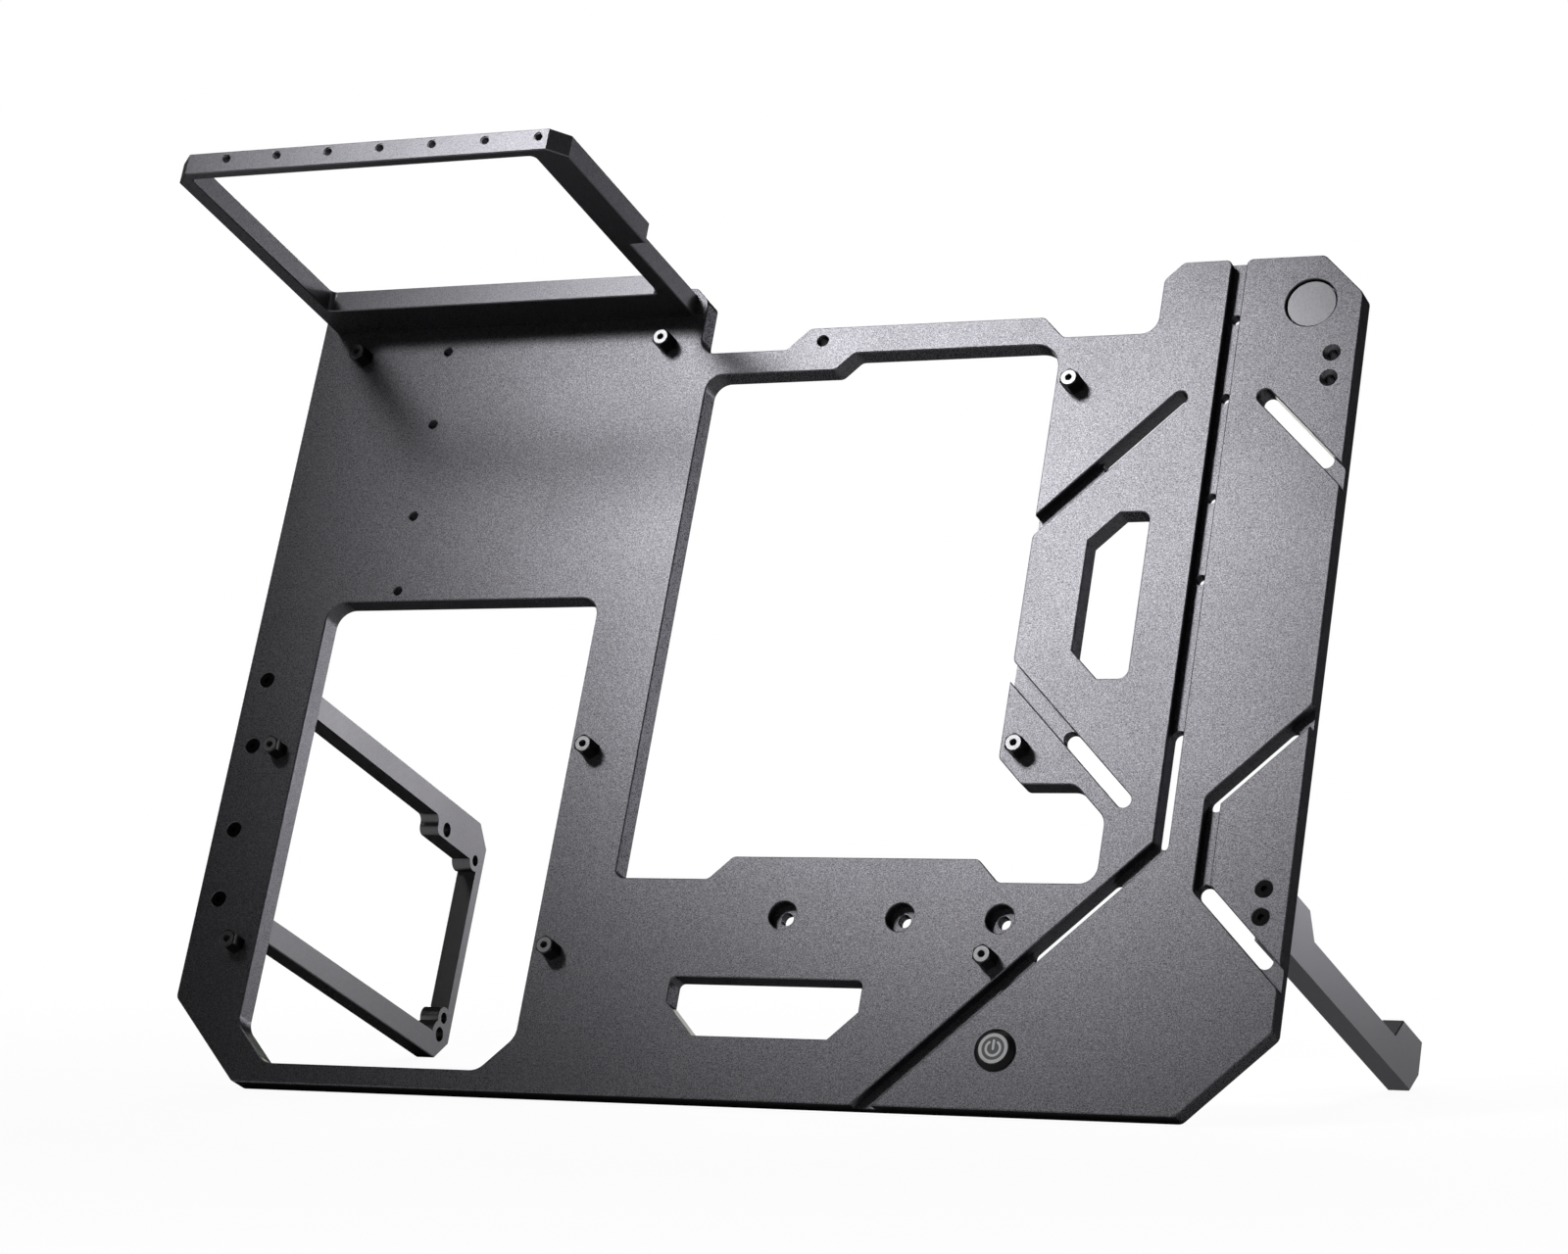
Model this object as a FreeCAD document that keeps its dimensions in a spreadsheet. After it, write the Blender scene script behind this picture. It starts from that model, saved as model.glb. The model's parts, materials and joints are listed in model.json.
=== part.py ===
import FreeCAD, Part

import math
import os
import types

import Sketcher

# Open air test bench: a leaning plate with nine board standoffs, a slot bracket that stands
# out of its front, a power supply frame and a leg behind it, and a push button.
#
# Every piece is drawn in the plate's own frame: X to the right and Y up along the plate, from
# the lower left board hole, and Z out of its front face. One placement leans the whole
# bench back, sets it down on its back lower edge and its two rear feet, and centres it.

SIZES = {
    # attitude
    "lean_angle": 22.0,

    # board holes, from the lower left one
    "middle_column": 124.46,
    "right_column": 281.94,
    "middle_row": 72.39,
    "top_row": 227.33,
    "top_right_drop": 22.86,

    # plate edges, from the outer board holes
    "plate_thickness": 8.0,
    "margin_left": 19.6,
    "margin_right": 97.26,
    "margin_below": 49.4,
    "margin_above": 22.17,
    "edge_break": 0.35,
    "hole_break": 0.3,

    # cut corners and the notches of the top edge
    "lower_left_cut": 29.7,
    "lower_right_cut": 28.1,
    "upper_right_cut": 14.8,
    "cut_round": 3.0,
    "notch_drop": 26.3,
    "notch_round": 6.0,
    "bar_rise": 7.9,
    "left_block_inset": 13.04,
    "left_block_cut": 5.4,
    "bar_left_inset": 54.94,
    "bar_right_inset": 14.84,
    "tower_inset": 70.55,
    "tower_cut": 6.3,

    # large window behind the board
    "window_left_inset": 18.14,
    "window_right_inset": 7.19,
    "window_large_round": 9.5,
    "low_bar_depth": 8.7,
    "high_bar_depth": 10.4,
    "window_ramp_inset": 67.34,
    "sill_drop": 45.89,
    "sill_rise": 8.0,
    "sill_left_inset": 52.84,
    "sill_right_inset": 0.84,
    "bay_right_inset": 64.7,
    "bay_drop": 11.99,
    "bay_cut": 11.6,
    "lug_cut": 9.25,

    # left window
    "side_window_left": 7.8,
    "side_window_right_inset": 7.96,
    "side_window_rise": 57.2,
    "side_window_sill": 7.1,
    "side_window_left_cut": 13.9,
    "side_window_right_cut": 12.15,
    "side_window_round": 7.0,

    # six sided window at the right of the board
    "grip_left_inset": 12.86,
    "grip_width": 20.6,
    "grip_bottom_rise": 24.9,
    "grip_height": 59.6,
    "grip_cut": 10.0,
    "grip_round": 3.5,

    # low window under the board
    "slot_window_left": 170.3,
    "slot_window_width": 69.1,
    "slot_window_drop": 7.8,
    "slot_window_height": 20.1,
    "slot_window_left_cut": 11.2,
    "slot_window_right_cut": 9.5,
    "slot_window_round": 2.0,

    # milled grooves and the through slots in their floors
    "groove_width": 5.25,
    "groove_depth": 4.0,
    "slant_mouth_round": 3.0,
    "upright_mouth_round": 2.2,
    "main_groove_inset": 44.55,
    "main_groove_bend": 39.95,
    "inner_groove_gap": 14.6,
    "upper_groove_drop": 28.4,
    "lower_groove_drop": 17.3,
    "outer_groove_gap": 15.1,
    "outer_groove_drop": 28.8,
    "hook_gap": 15.55,
    "hook_top_rise": 44.2,
    "hook_bottom_rise": 14.5,
    "slot_run": 22.6,
    "upright_slot_top": 77.9,
    "upright_slot_bottom": 42.2,
    "main_slot_top": 25.7,

    # accessory holes, in rows from the top row of board holes
    "accessory_hole": 3.3,
    "accessory_column": 34.9,
    "accessory_row_a": 1.3,
    "accessory_row_b": 28.0,
    "accessory_row_c": 64.5,
    "accessory_row_d": 93.8,
    "cable_hole": 4.0,
    "cable_hole_inset": 60.54,
    "cable_hole_drop": 5.1,

    # counterbored holes under the large window
    "pump_hole": 4.5,
    "pump_counterbore": 9.9,
    "pump_counterbore_depth": 4.0,
    "pump_hole_height": 14.1,
    "pump_hole_a": 207.0,
    "pump_hole_b": 248.9,
    "pump_hole_c": 283.7,

    # badge disc in its recess
    "badge_diameter": 17.0,
    "badge_gap": 0.35,
    "badge_recess": 2.4,
    "badge_rim": 1.3,
    "badge_edge": 0.25,
    "badge_right_inset": 17.7,
    "badge_top_inset": 17.6,

    # standoffs
    "standoff_flats": 6.0,
    "standoff_height": 6.5,
    "standoff_land": 5.3,
    "standoff_chamfer": 0.5,
    "standoff_bore": 2.5,
    "standoff_bore_depth": 6.0,
    "stud_length": 5.0,

    # screws, all of one thread
    "thread": 3.0,
    "thread_clearance": 0.05,
    "thread_spare": 0.5,
    "clearance_hole": 3.4,

    # cap screws, put in from behind
    "screw_length": 12.0,
    "screw_head": 5.5,
    "screw_head_height": 3.0,
    "screw_socket": 2.5,
    "screw_socket_depth": 1.6,
    "head_counterbore": 6.2,
    "head_counterbore_depth": 4.0,

    # flat head screws in countersinks, put in from the front
    "countersink": 6.2,
    "flat_sink": 0.15,
    "flat_rim": 0.2,
    "flat_length": 16.0,
    "flat_socket": 2.0,
    "flat_socket_depth": 1.1,

    # expansion slot bracket
    "bracket_thickness": 8.0,
    "bracket_top_gap": 3.0,
    "bracket_reach": 119.25,
    "bracket_left_inset": 5.3,
    "bracket_right_inset": 14.14,
    "bracket_step": 5.8,
    "bracket_step_reach": 52.9,
    "bracket_cut": 5.9,
    "bracket_left_rail": 6.0,
    "bracket_right_rail": 12.2,
    "bracket_base_bar": 16.9,
    "bracket_end_bar": 4.0,
    "bracket_round": 2.0,
    "bracket_screw_inset": 6.3,
    "slot_pitch": 20.32,
    "slot_hole": 2.8,
    "slot_hole_mouth": 3.5,
    "first_slot_hole": 7.16,
    "slot_hole_depth_offset": 5.05,

    # rear supports, measured from the foot level and from the power supply's holes
    "support_thickness": 8.0,
    "foot_cut": 8.0,

    # power supply frame
    "frame_left_inset": 4.3,
    "frame_top_margin": 12.0,
    "frame_plate_margin": 11.7,
    "frame_far_cover": 3.8,
    "frame_step_cover": 6.9,
    "frame_step": 6.9,
    "frame_rear_bar": 5.0,
    "frame_bottom_bar": 9.0,
    "frame_front_cover": 6.3,
    "frame_round": 3.0,
    "frame_lobe": 4.2,
    "frame_large_lobe": 5.4,
    "supply_pitch_long": 138.0,
    "supply_pitch_short": 114.0,
    "supply_rise": 64.0,
    "supply_rise_far": 73.9,
    "supply_hole_inset": 7.8,
    "supply_hole_height": 9.3,
    "supply_large_hole": 5.6,
    "supply_hole": 4.3,
    "flipped_hole_inset": 6.9,
    "flipped_hole_height": 80.1,
    "frame_screw_a": 5.7,
    "frame_screw_b": 31.6,
    "frame_screw_c": 63.4,
    "frame_screw_d": 88.7,

    # leg
    "leg_right_inset": 8.35,
    "leg_bar": 12.4,
    "leg_end": 20.2,
    "leg_front_run": 26.1,
    "leg_rear_run": 22.6,
    "leg_screw_a": 5.2,
    "leg_screw_b": 14.5,
    "spare_hole_gap": 9.2,
    "spare_hole_drop": 36.6,

    # push button switch
    "switch_column": 288.8,
    "switch_drop": 29.8,
    "switch_hole_gap": 0.15,
    "bezel_diameter": 13.7,
    "bezel_height": 2.1,
    "bezel_edge": 0.7,
    "bezel_top_diameter": 11.0,
    "bezel_lip": 1.7,
    "barrel_diameter": 11.8,
    "barrel_length": 24.0,
    "barrel_wall": 0.5,
    "cap_face": 2.0,
    "cap_gap": 0.1,
    "cap_flange_gap": 0.3,
    "cap_flange": 1.5,
    "cap_stem_diameter": 6.0,
    "cap_stem_length": 6.0,
    "cap_travel": 1.0,
    "ring_diameter": 9.9,
    "ring_width": 1.1,
    "ring_depth": 0.8,
    "switch_base_depth": 2.0,
    "contact_gap": 0.6,
    "terminal_length": 5.0,
    "terminal_width": 2.0,
    "terminal_thickness": 0.5,
    "terminal_spread": 2.6,
    "nut_flats": 14.0,
    "nut_height": 2.2,
}

# corner radius of a hexagon over its width across the flats
HEX_CORNER = 1 / math.sqrt(3)


class Length:
    """A number together with the sheet formula that gives it."""

    def __init__(self, value, formula):
        self.value = value
        self.formula = formula

    def __add__(self, other):
        other = as_length(other)
        return Length(self.value + other.value, f"({self.formula} + {other.formula})")

    def __sub__(self, other):
        other = as_length(other)
        return Length(self.value - other.value, f"({self.formula} - {other.formula})")

    def __mul__(self, other):
        other = as_length(other)
        return Length(self.value * other.value, f"{self.formula} * {other.formula}")

    def __truediv__(self, other):
        other = as_length(other)
        return Length(self.value / other.value, f"{self.formula} / {other.formula}")

    def __neg__(self):
        return Length(-self.value, f"(0 - {self.formula})")


def as_length(number):
    """A plain number as a length, and a length as it is."""
    if isinstance(number, Length):
        return number
    return Length(float(number), f"({float(number)!r})")


def make_sheet(doc):
    """The sheet of driving sizes, and each of them as a length bound to its cell."""
    sheet = doc.addObject("Spreadsheet::Sheet", "Sizes")
    for row, (name, value) in enumerate(SIZES.items(), 1):
        sheet.set(f"A{row}", name)
        sheet.set(f"B{row}", str(value))
        sheet.setAlias(f"B{row}", name)
    doc.recompute()
    lengths = {name: Length(value, f"Sizes.{name}") for name, value in SIZES.items()}
    return types.SimpleNamespace(**lengths)


doc = FreeCAD.newDocument("test_bench")
d = make_sheet(doc)

ZERO = as_length(0)
LEAN_SIN = Length(math.sin(math.radians(d.lean_angle.value)), "sin(Sizes.lean_angle)")
LEAN_COS = Length(math.cos(math.radians(d.lean_angle.value)), "cos(Sizes.lean_angle)")

# plate edges and levels that several pieces share
LEFT = -d.margin_left
RIGHT = d.right_column + d.margin_right
BOTTOM = -d.margin_below
TOP = d.top_row + d.margin_above
BACK = -d.plate_thickness
FRONT_TIP = -d.flat_sink - d.flat_length
BACK_SEAT = BACK + d.head_counterbore_depth
SUPPORT_REAR = BACK - d.frame_plate_margin - d.supply_pitch_long - d.supply_hole_inset
FOOT = SUPPORT_REAR + d.foot_cut
FOOT_LEVEL = BOTTOM + (BACK - FOOT) * LEAN_SIN / LEAN_COS
FRAME_TOP = FOOT_LEVEL + d.supply_hole_height + d.supply_rise_far + d.frame_top_margin
BRACKET_TOP = TOP - d.bracket_top_gap
BRACKET_BOTTOM = BRACKET_TOP - d.bracket_thickness
SWITCH = (d.switch_column, -d.switch_drop)
BADGE = (RIGHT - d.badge_right_inset, TOP - d.badge_top_inset)


def bind(thing, prop, length):
    """Binds a property to the sheet."""
    thing.setExpression(prop, length.formula)


def new_body(name):
    """An empty body whose label is the node's name."""
    body = doc.addObject("PartDesign::Body", name)
    body.Label = name
    return body


def new_sketch(body, name, plane, offset=None, shift=(None, None)):
    """A sketch on one of the body's own planes, moved by an offset along its normal."""
    sketch = body.newObject("Sketcher::SketchObject", name)
    support = next(f for f in body.Origin.OriginFeatures if f.Role == plane)
    sketch.AttachmentSupport = [(support, "")]
    sketch.MapMode = "FlatFace"
    for axis, distance in zip("xyz", (*shift, offset)):
        if distance is not None:
            bind(sketch, f"AttachmentOffset.Base.{axis}", distance)
    return sketch


def pin(sketch, points):
    """Pins sketch points at their places, each as (curve, point, x, y)."""
    constraints = []
    formulas = []
    for curve, point, x, y in points:
        for kind, distance in (("DistanceX", x), ("DistanceY", y)):
            constraints.append(Sketcher.Constraint(kind, -1, 1, curve, point, distance.value))
            formulas.append(distance.formula)
    indices = sketch.addConstraint(constraints)
    for index, formula in zip(indices, formulas):
        sketch.setExpression(f"Constraints[{index}]", formula)


def polygon(sketch, points):
    """A closed outline of straight lines through the points."""
    count = len(points)
    first = sketch.GeometryCount
    flat = [FreeCAD.Vector(x.value, y.value, 0) for x, y in points]
    sketch.addGeometry([Part.LineSegment(flat[i], flat[(i + 1) % count]) for i in range(count)])
    joints = [
        Sketcher.Constraint("Coincident", first + i, 2, first + (i + 1) % count, 1)
        for i in range(count)
    ]
    sketch.addConstraint(joints)
    pin(sketch, [(first + i, 1, x, y) for i, (x, y) in enumerate(points)])


def hexagon(sketch, centre, flats, first_corner):
    """A regular hexagon by its width across the flats."""
    corners = []
    for turn in range(6):
        angle = math.radians(first_corner + 60 * turn)
        x = centre[0] + flats * (HEX_CORNER * math.cos(angle))
        y = centre[1] + flats * (HEX_CORNER * math.sin(angle))
        corners.append((x, y))
    polygon(sketch, corners)


def circles(sketch, centres, diameter):
    """Equal circles."""
    first = sketch.GeometryCount
    up = FreeCAD.Vector(0, 0, 1)
    for x, y in centres:
        centre = FreeCAD.Vector(x.value, y.value, 0)
        sketch.addGeometry(Part.Circle(centre, up, diameter.value / 2))
    size = sketch.addConstraint(Sketcher.Constraint("Diameter", first, diameter.value))
    sketch.setExpression(f"Constraints[{size}]", diameter.formula)
    for copy in range(first + 1, sketch.GeometryCount):
        sketch.addConstraint(Sketcher.Constraint("Equal", first, copy))
    pin(sketch, [(first + i, 3, x, y) for i, (x, y) in enumerate(centres)])


def stadium(sketch, start, end, width):
    """Two straight sides between half round ends about the start and the end."""
    first = sketch.GeometryCount
    ends = [FreeCAD.Vector(x.value, y.value, 0) for x, y in (start, end)]
    run = ends[1] - ends[0]
    turn = math.atan2(run.y, run.x)
    radius = width.value / 2
    side = FreeCAD.Vector(-math.sin(turn), math.cos(turn), 0) * radius
    up = FreeCAD.Vector(0, 0, 1)
    quarter = math.pi / 2
    sketch.addGeometry([
        Part.LineSegment(ends[0] - side, ends[1] - side),
        Part.ArcOfCircle(Part.Circle(ends[1], up, radius), turn - quarter, turn + quarter),
        Part.LineSegment(ends[1] + side, ends[0] + side),
        Part.ArcOfCircle(Part.Circle(ends[0], up, radius), turn + quarter, turn + 3 * quarter),
    ])
    sketch.addConstraint([
        Sketcher.Constraint("Tangent", first, 2, first + 1, 1),
        Sketcher.Constraint("Tangent", first + 1, 2, first + 2, 1),
        Sketcher.Constraint("Tangent", first + 2, 2, first + 3, 1),
        Sketcher.Constraint("Tangent", first + 3, 2, first, 1),
        Sketcher.Constraint("Equal", first + 1, first + 3),
    ])
    size = sketch.addConstraint(Sketcher.Constraint("Radius", first + 1, radius))
    sketch.setExpression(f"Constraints[{size}]", (width / 2).formula)
    pin(sketch, [(first + 1, 3, *end), (first + 3, 3, *start)])


def pad(body, sketch, length, reverse=False):
    """Raises the sketch into a solid."""
    feature = body.newObject("PartDesign::Pad", f"{sketch.Name}_pad")
    feature.Profile = sketch
    bind(feature, "Length", length)
    feature.Reversed = reverse
    return feature


def pocket(body, sketch, depth=None, reverse=False):
    """Cuts the sketch out, to a depth or right through."""
    feature = body.newObject("PartDesign::Pocket", f"{sketch.Name}_cut")
    feature.Profile = sketch
    if depth is None:
        feature.Type = "ThroughAll"
    else:
        bind(feature, "Length", depth)
    feature.Reversed = reverse
    return feature


def spin(body, name, profile, centre):
    """Turns a profile of (radius, height) points about the plate's normal through the centre."""
    sketch = new_sketch(body, name, "XZ_Plane", -centre[1], (centre[0], None))
    polygon(sketch, profile)
    feature = body.newObject("PartDesign::Revolution", f"{name}_turn")
    feature.Profile = sketch
    feature.ReferenceAxis = (sketch, ["V_Axis"])
    feature.Angle = 360
    return feature


def matching_edges(shape, test):
    """Names of the edges that pass a test."""
    return [f"Edge{i}" for i, edge in enumerate(shape.Edges, 1) if test(edge)]


def dress(body, kind, name, edges, prop, size):
    """A fillet or chamfer on named edges of the body so far."""
    base = body.Tip
    feature = body.newObject(f"PartDesign::{kind}", name)
    feature.Base = (base, edges)
    bind(feature, prop, size)
    return feature


def round_corners(body, name, corners, radius, axis="z"):
    """Rounds the edges that run along an axis through the given corners."""
    doc.recompute()
    across = [other for other in "xyz" if other != axis]
    places = [(x.value, y.value) for x, y in corners]

    def at_corner(edge):
        if len(edge.Vertexes) != 2:
            return False
        ends = [vertex.Point for vertex in edge.Vertexes]
        flat = [[getattr(end, other) for other in across] for end in ends]
        if math.dist(*flat) > 1e-4:
            return False
        return any(math.dist(flat[0], place) < 1e-3 for place in places)

    edges = matching_edges(body.Tip.Shape, at_corner)
    if len(edges) != len(corners):
        raise RuntimeError(f"{name}: {len(edges)} edges found for {len(corners)} corners")
    dress(body, "Fillet", name, edges, "Radius", radius)


def break_edges(body, name, axis, height, size):
    """A small chamfer on every edge of one flat face."""
    doc.recompute()

    def on_face(edge):
        ends = [vertex.Point for vertex in edge.Vertexes]
        ends.append(edge.valueAt((edge.FirstParameter + edge.LastParameter) / 2))
        return all(abs(getattr(end, axis) - height.value) < 1e-4 for end in ends)

    edges = matching_edges(body.Tip.Shape, on_face)
    dress(body, "Chamfer", name, edges, "Size", size)


def break_holes(body, name, centres, diameter, level, size):
    """A chamfer round the mouths of equal holes."""
    doc.recompute()
    places = [(x.value, y.value) for x, y in centres]

    def at_mouth(edge):
        curve = edge.Curve
        if curve.TypeId != "Part::GeomCircle" or abs(curve.Radius - diameter.value / 2) > 1e-4:
            return False
        centre = curve.Center
        if abs(centre.z - level.value) > 1e-4:
            return False
        return any(math.dist((centre.x, centre.y), place) < 1e-3 for place in places)

    edges = matching_edges(body.Tip.Shape, at_mouth)
    if len(edges) != len(centres):
        raise RuntimeError(f"{name}: {len(edges)} mouths found for {len(centres)} holes")
    dress(body, "Chamfer", name, edges, "Size", size)


def stand_up(body):
    """Leans a body back with the plate and sets it down on the ground, centred."""
    front = BRACKET_BOTTOM * LEAN_SIN - d.bracket_reach * LEAN_COS
    rear = (FRAME_TOP - d.foot_cut) * LEAN_SIN - SUPPORT_REAR * LEAN_COS
    body.Placement.Rotation = FreeCAD.Rotation(FreeCAD.Vector(1, 0, 0), 90 - d.lean_angle.value)
    bind(body, "Placement.Rotation.Angle", as_length(90) - d.lean_angle)
    bind(body, "Placement.Base.x", -(LEFT + RIGHT) / 2)
    bind(body, "Placement.Base.y", -(front + rear) / 2)
    bind(body, "Placement.Base.z", -(BOTTOM * LEAN_COS) - BACK * LEAN_SIN)


def board_holes():
    """The nine board holes, row by row from the bottom."""
    columns = (ZERO, d.middle_column, d.right_column)
    holes = [(x, y) for y in (ZERO, d.middle_row, d.top_row) for x in columns]
    holes[-1] = (d.right_column, d.top_row - d.top_right_drop)
    return holes


def frame_screw_places():
    """The four screws that hold the power supply frame."""
    column = LEFT + d.frame_left_inset + d.support_thickness / 2
    heights = (d.frame_screw_a, d.frame_screw_b, d.frame_screw_c, d.frame_screw_d)
    return [(column, FOOT_LEVEL + height) for height in heights]


def leg_screw_places():
    """The two screws that hold the leg."""
    column = RIGHT - d.leg_right_inset
    return [(column, FOOT_LEVEL + height) for height in (d.leg_screw_a, d.leg_screw_b)]


def bracket_screw_places():
    """The three screws that hold the slot bracket from behind."""
    left = LEFT + d.bracket_left_inset + d.bracket_screw_inset
    right = d.middle_column + d.bracket_right_inset - d.bracket_step - d.bracket_screw_inset
    height = BRACKET_BOTTOM + d.bracket_thickness / 2
    return [(left, height), ((left + right) / 2, height), (right, height)]


def spare_hole_places():
    """The two empty countersunk holes over the leg."""
    column = RIGHT - d.leg_right_inset
    top = TOP - d.spare_hole_drop
    return [(column, top), (column, top - d.spare_hole_gap)]


def accessory_rows():
    """Heights of the four rows of accessory holes."""
    drops = (-d.accessory_row_a, d.accessory_row_b, d.accessory_row_c, d.accessory_row_d)
    return [d.top_row - drop for drop in drops]


def plate_outline():
    """Corners of the plate, anticlockwise from its lower left cut."""
    notch = TOP - d.notch_drop
    bar = notch + d.bar_rise
    tower = RIGHT - d.tower_inset
    bar_left = d.middle_column + d.bar_left_inset
    bar_right = d.right_column - d.bar_right_inset
    block = d.middle_column + d.left_block_inset
    return {
        "cut": [
            (LEFT, BOTTOM + d.lower_left_cut),
            (LEFT + d.lower_left_cut, BOTTOM),
            (RIGHT - d.lower_right_cut, BOTTOM),
            (RIGHT, BOTTOM + d.lower_right_cut),
        ],
        "upper": [
            (RIGHT, TOP - d.upper_right_cut),
            (RIGHT - d.upper_right_cut, TOP),
            (tower + d.tower_cut, TOP),
            (tower, TOP - d.tower_cut),
        ],
        "tower_foot": [(tower, notch)],
        "bar": [
            (bar_right + d.bar_rise, notch),
            (bar_right, bar),
            (bar_left, bar),
            (bar_left - d.bar_rise, notch),
        ],
        "block_foot": [(block, notch)],
        "block": [
            (block, TOP - d.left_block_cut),
            (block - d.left_block_cut, TOP),
        ],
        "corner": [(LEFT, TOP)],
    }


def large_window():
    """Corners of the large window, from its lower left."""
    left = d.middle_column + d.window_left_inset
    right = d.right_column - d.window_right_inset
    low_top = TOP - d.notch_drop - d.low_bar_depth
    high_top = TOP - d.notch_drop + d.bar_rise - d.high_bar_depth
    ramp = d.middle_column + d.window_ramp_inset
    sill = d.middle_row - d.sill_drop
    raised = sill + d.sill_rise
    sill_left = d.middle_column + d.sill_left_inset
    sill_right = d.right_column - d.sill_right_inset
    bay = RIGHT - d.bay_right_inset
    bay_top = d.middle_row - d.bay_drop
    return {
        "small": [
            (left, sill),
            (sill_left, sill),
            (sill_left + d.sill_rise, raised),
            (sill_right - d.sill_rise, raised),
            (sill_right, sill),
        ],
        "bay": [
            (bay, sill),
            (bay, bay_top - d.bay_cut),
            (bay - d.bay_cut, bay_top),
        ],
        "lug": [
            (right + d.lug_cut, bay_top),
            (right, bay_top + d.lug_cut),
        ],
        "large": [(right, high_top)],
        "ramp": [
            (ramp + high_top - low_top, high_top),
            (ramp, low_top),
        ],
        "upper_left": [(left, low_top)],
    }


def side_window():
    """Corners of the left window, from its lower left cut."""
    right = d.middle_column - d.side_window_right_inset
    top = d.middle_row + d.side_window_rise
    sill = BOTTOM + d.side_window_sill
    return [
        (d.side_window_left, sill + d.side_window_left_cut),
        (d.side_window_left + d.side_window_left_cut, sill),
        (right - d.side_window_right_cut, sill),
        (right, sill + d.side_window_right_cut),
        (right, top),
        (d.side_window_left, top),
    ]


def grip_window():
    """Corners of the six sided window, from its lower right."""
    left = d.right_column + d.grip_left_inset
    right = left + d.grip_width
    sill = d.middle_row + d.grip_bottom_rise
    top = sill + d.grip_height
    return [
        (right, sill),
        (right, top),
        (left + d.grip_cut, top),
        (left, top - d.grip_cut),
        (left, sill + d.grip_cut),
        (left + d.grip_cut, sill),
    ]


def slot_window():
    """Corners of the low window, from its upper left."""
    left = d.slot_window_left
    right = left + d.slot_window_width
    top = -d.slot_window_drop
    sill = top - d.slot_window_height
    return [
        (left, top),
        (right, top),
        (right, sill + d.slot_window_right_cut),
        (right - d.slot_window_right_cut, sill),
        (left + d.slot_window_left_cut, sill),
        (left, sill + d.slot_window_left_cut),
    ]


def joined(groups):
    """All corners of a grouped outline in order."""
    return [corner for group in groups.values() for corner in group]


def groove_paths():
    """Start and end of each straight stretch of groove; open ends run past the plate."""
    past = d.groove_width
    main = RIGHT - d.main_groove_inset
    bend = (main, d.main_groove_bend)
    fall = d.main_groove_bend - BOTTOM + past
    inner = main - d.inner_groove_gap
    reach = inner - d.right_column + d.window_right_inset + past
    upper_end = TOP - d.upper_groove_drop - d.top_right_drop
    lower_end = d.middle_row - d.lower_groove_drop
    outer = main + d.outer_groove_gap
    outer_end = TOP - d.outer_groove_drop - d.top_right_drop
    outer_run = RIGHT - outer + past
    hook = main + d.hook_gap
    hook_run = RIGHT - hook + past
    hook_top = FOOT_LEVEL + d.hook_top_rise
    hook_bottom = FOOT_LEVEL + d.hook_bottom_rise
    return {
        "main_upright": (bend, (main, TOP + past)),
        "main_slant": (bend, (main - fall, d.main_groove_bend - fall)),
        "upper_slant": ((inner, upper_end), (inner - reach, upper_end - reach)),
        "lower_slant": ((inner, lower_end), (inner - reach, lower_end + reach)),
        "outer_slant": ((outer, outer_end), (outer + outer_run, outer_end - outer_run)),
        "hook_upper": ((hook, hook_top), (hook + hook_run, hook_top + hook_run)),
        "hook_upright": ((hook, hook_top), (hook, hook_bottom)),
        "hook_lower": ((hook, hook_bottom), (hook + hook_run, hook_bottom - hook_run)),
    }


def slot_paths(grooves):
    """Start and end of each through slot, on the grooves' own lines."""
    run = d.slot_run
    main = grooves["main_upright"][0][0]
    slant = d.main_groove_bend - d.main_slot_top
    slant_end = slant + run
    paths = {
        "main_upright": ((main, d.upright_slot_top), (main, d.upright_slot_bottom)),
        "main_slant": (
            (main - slant, d.main_groove_bend - slant),
            (main - slant_end, d.main_groove_bend - slant_end),
        ),
    }
    turns = {
        "upper_slant": (-1, -1),
        "lower_slant": (-1, 1),
        "outer_slant": (1, -1),
        "hook_upper": (1, 1),
        "hook_lower": (1, -1),
    }
    for name, (across, up) in turns.items():
        x, y = grooves[name][0]
        paths[name] = ((x, y), (x + run * across, y + run * up))
    return paths


def blunt_mouths(grooves):
    """Blunt corners where the slanted grooves run out of the plate."""
    window = d.right_column - d.window_right_inset
    side = d.groove_width / math.sqrt(2)
    edges = {
        "upper_slant": window,
        "lower_slant": window,
        "outer_slant": RIGHT,
        "hook_upper": RIGHT,
        "hook_lower": RIGHT,
    }
    corners = []
    for name, edge in edges.items():
        (x, y), (end_x, end_y) = grooves[name]
        run = edge - x if end_x.value > x.value else x - edge
        rise = run + side
        corners.append((edge, y + rise if end_y.value > y.value else y - rise))
    x, y = grooves["main_slant"][0]
    corners.append((x - (y - BOTTOM) - side, BOTTOM))
    return corners


def square_mouths(grooves):
    """Square corners where the long groove runs out of the top edge."""
    column = grooves["main_upright"][0][0]
    side = d.groove_width / 2
    return [(column - side, TOP), (column + side, TOP)]


def drill(body, name, centres, diameter, depth=None, level=ZERO, reverse=False):
    """Round holes along the plate's normal, from a level."""
    sketch = new_sketch(body, name, "XY_Plane", level)
    circles(sketch, centres, diameter)
    pocket(body, sketch, depth, reverse)


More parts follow.
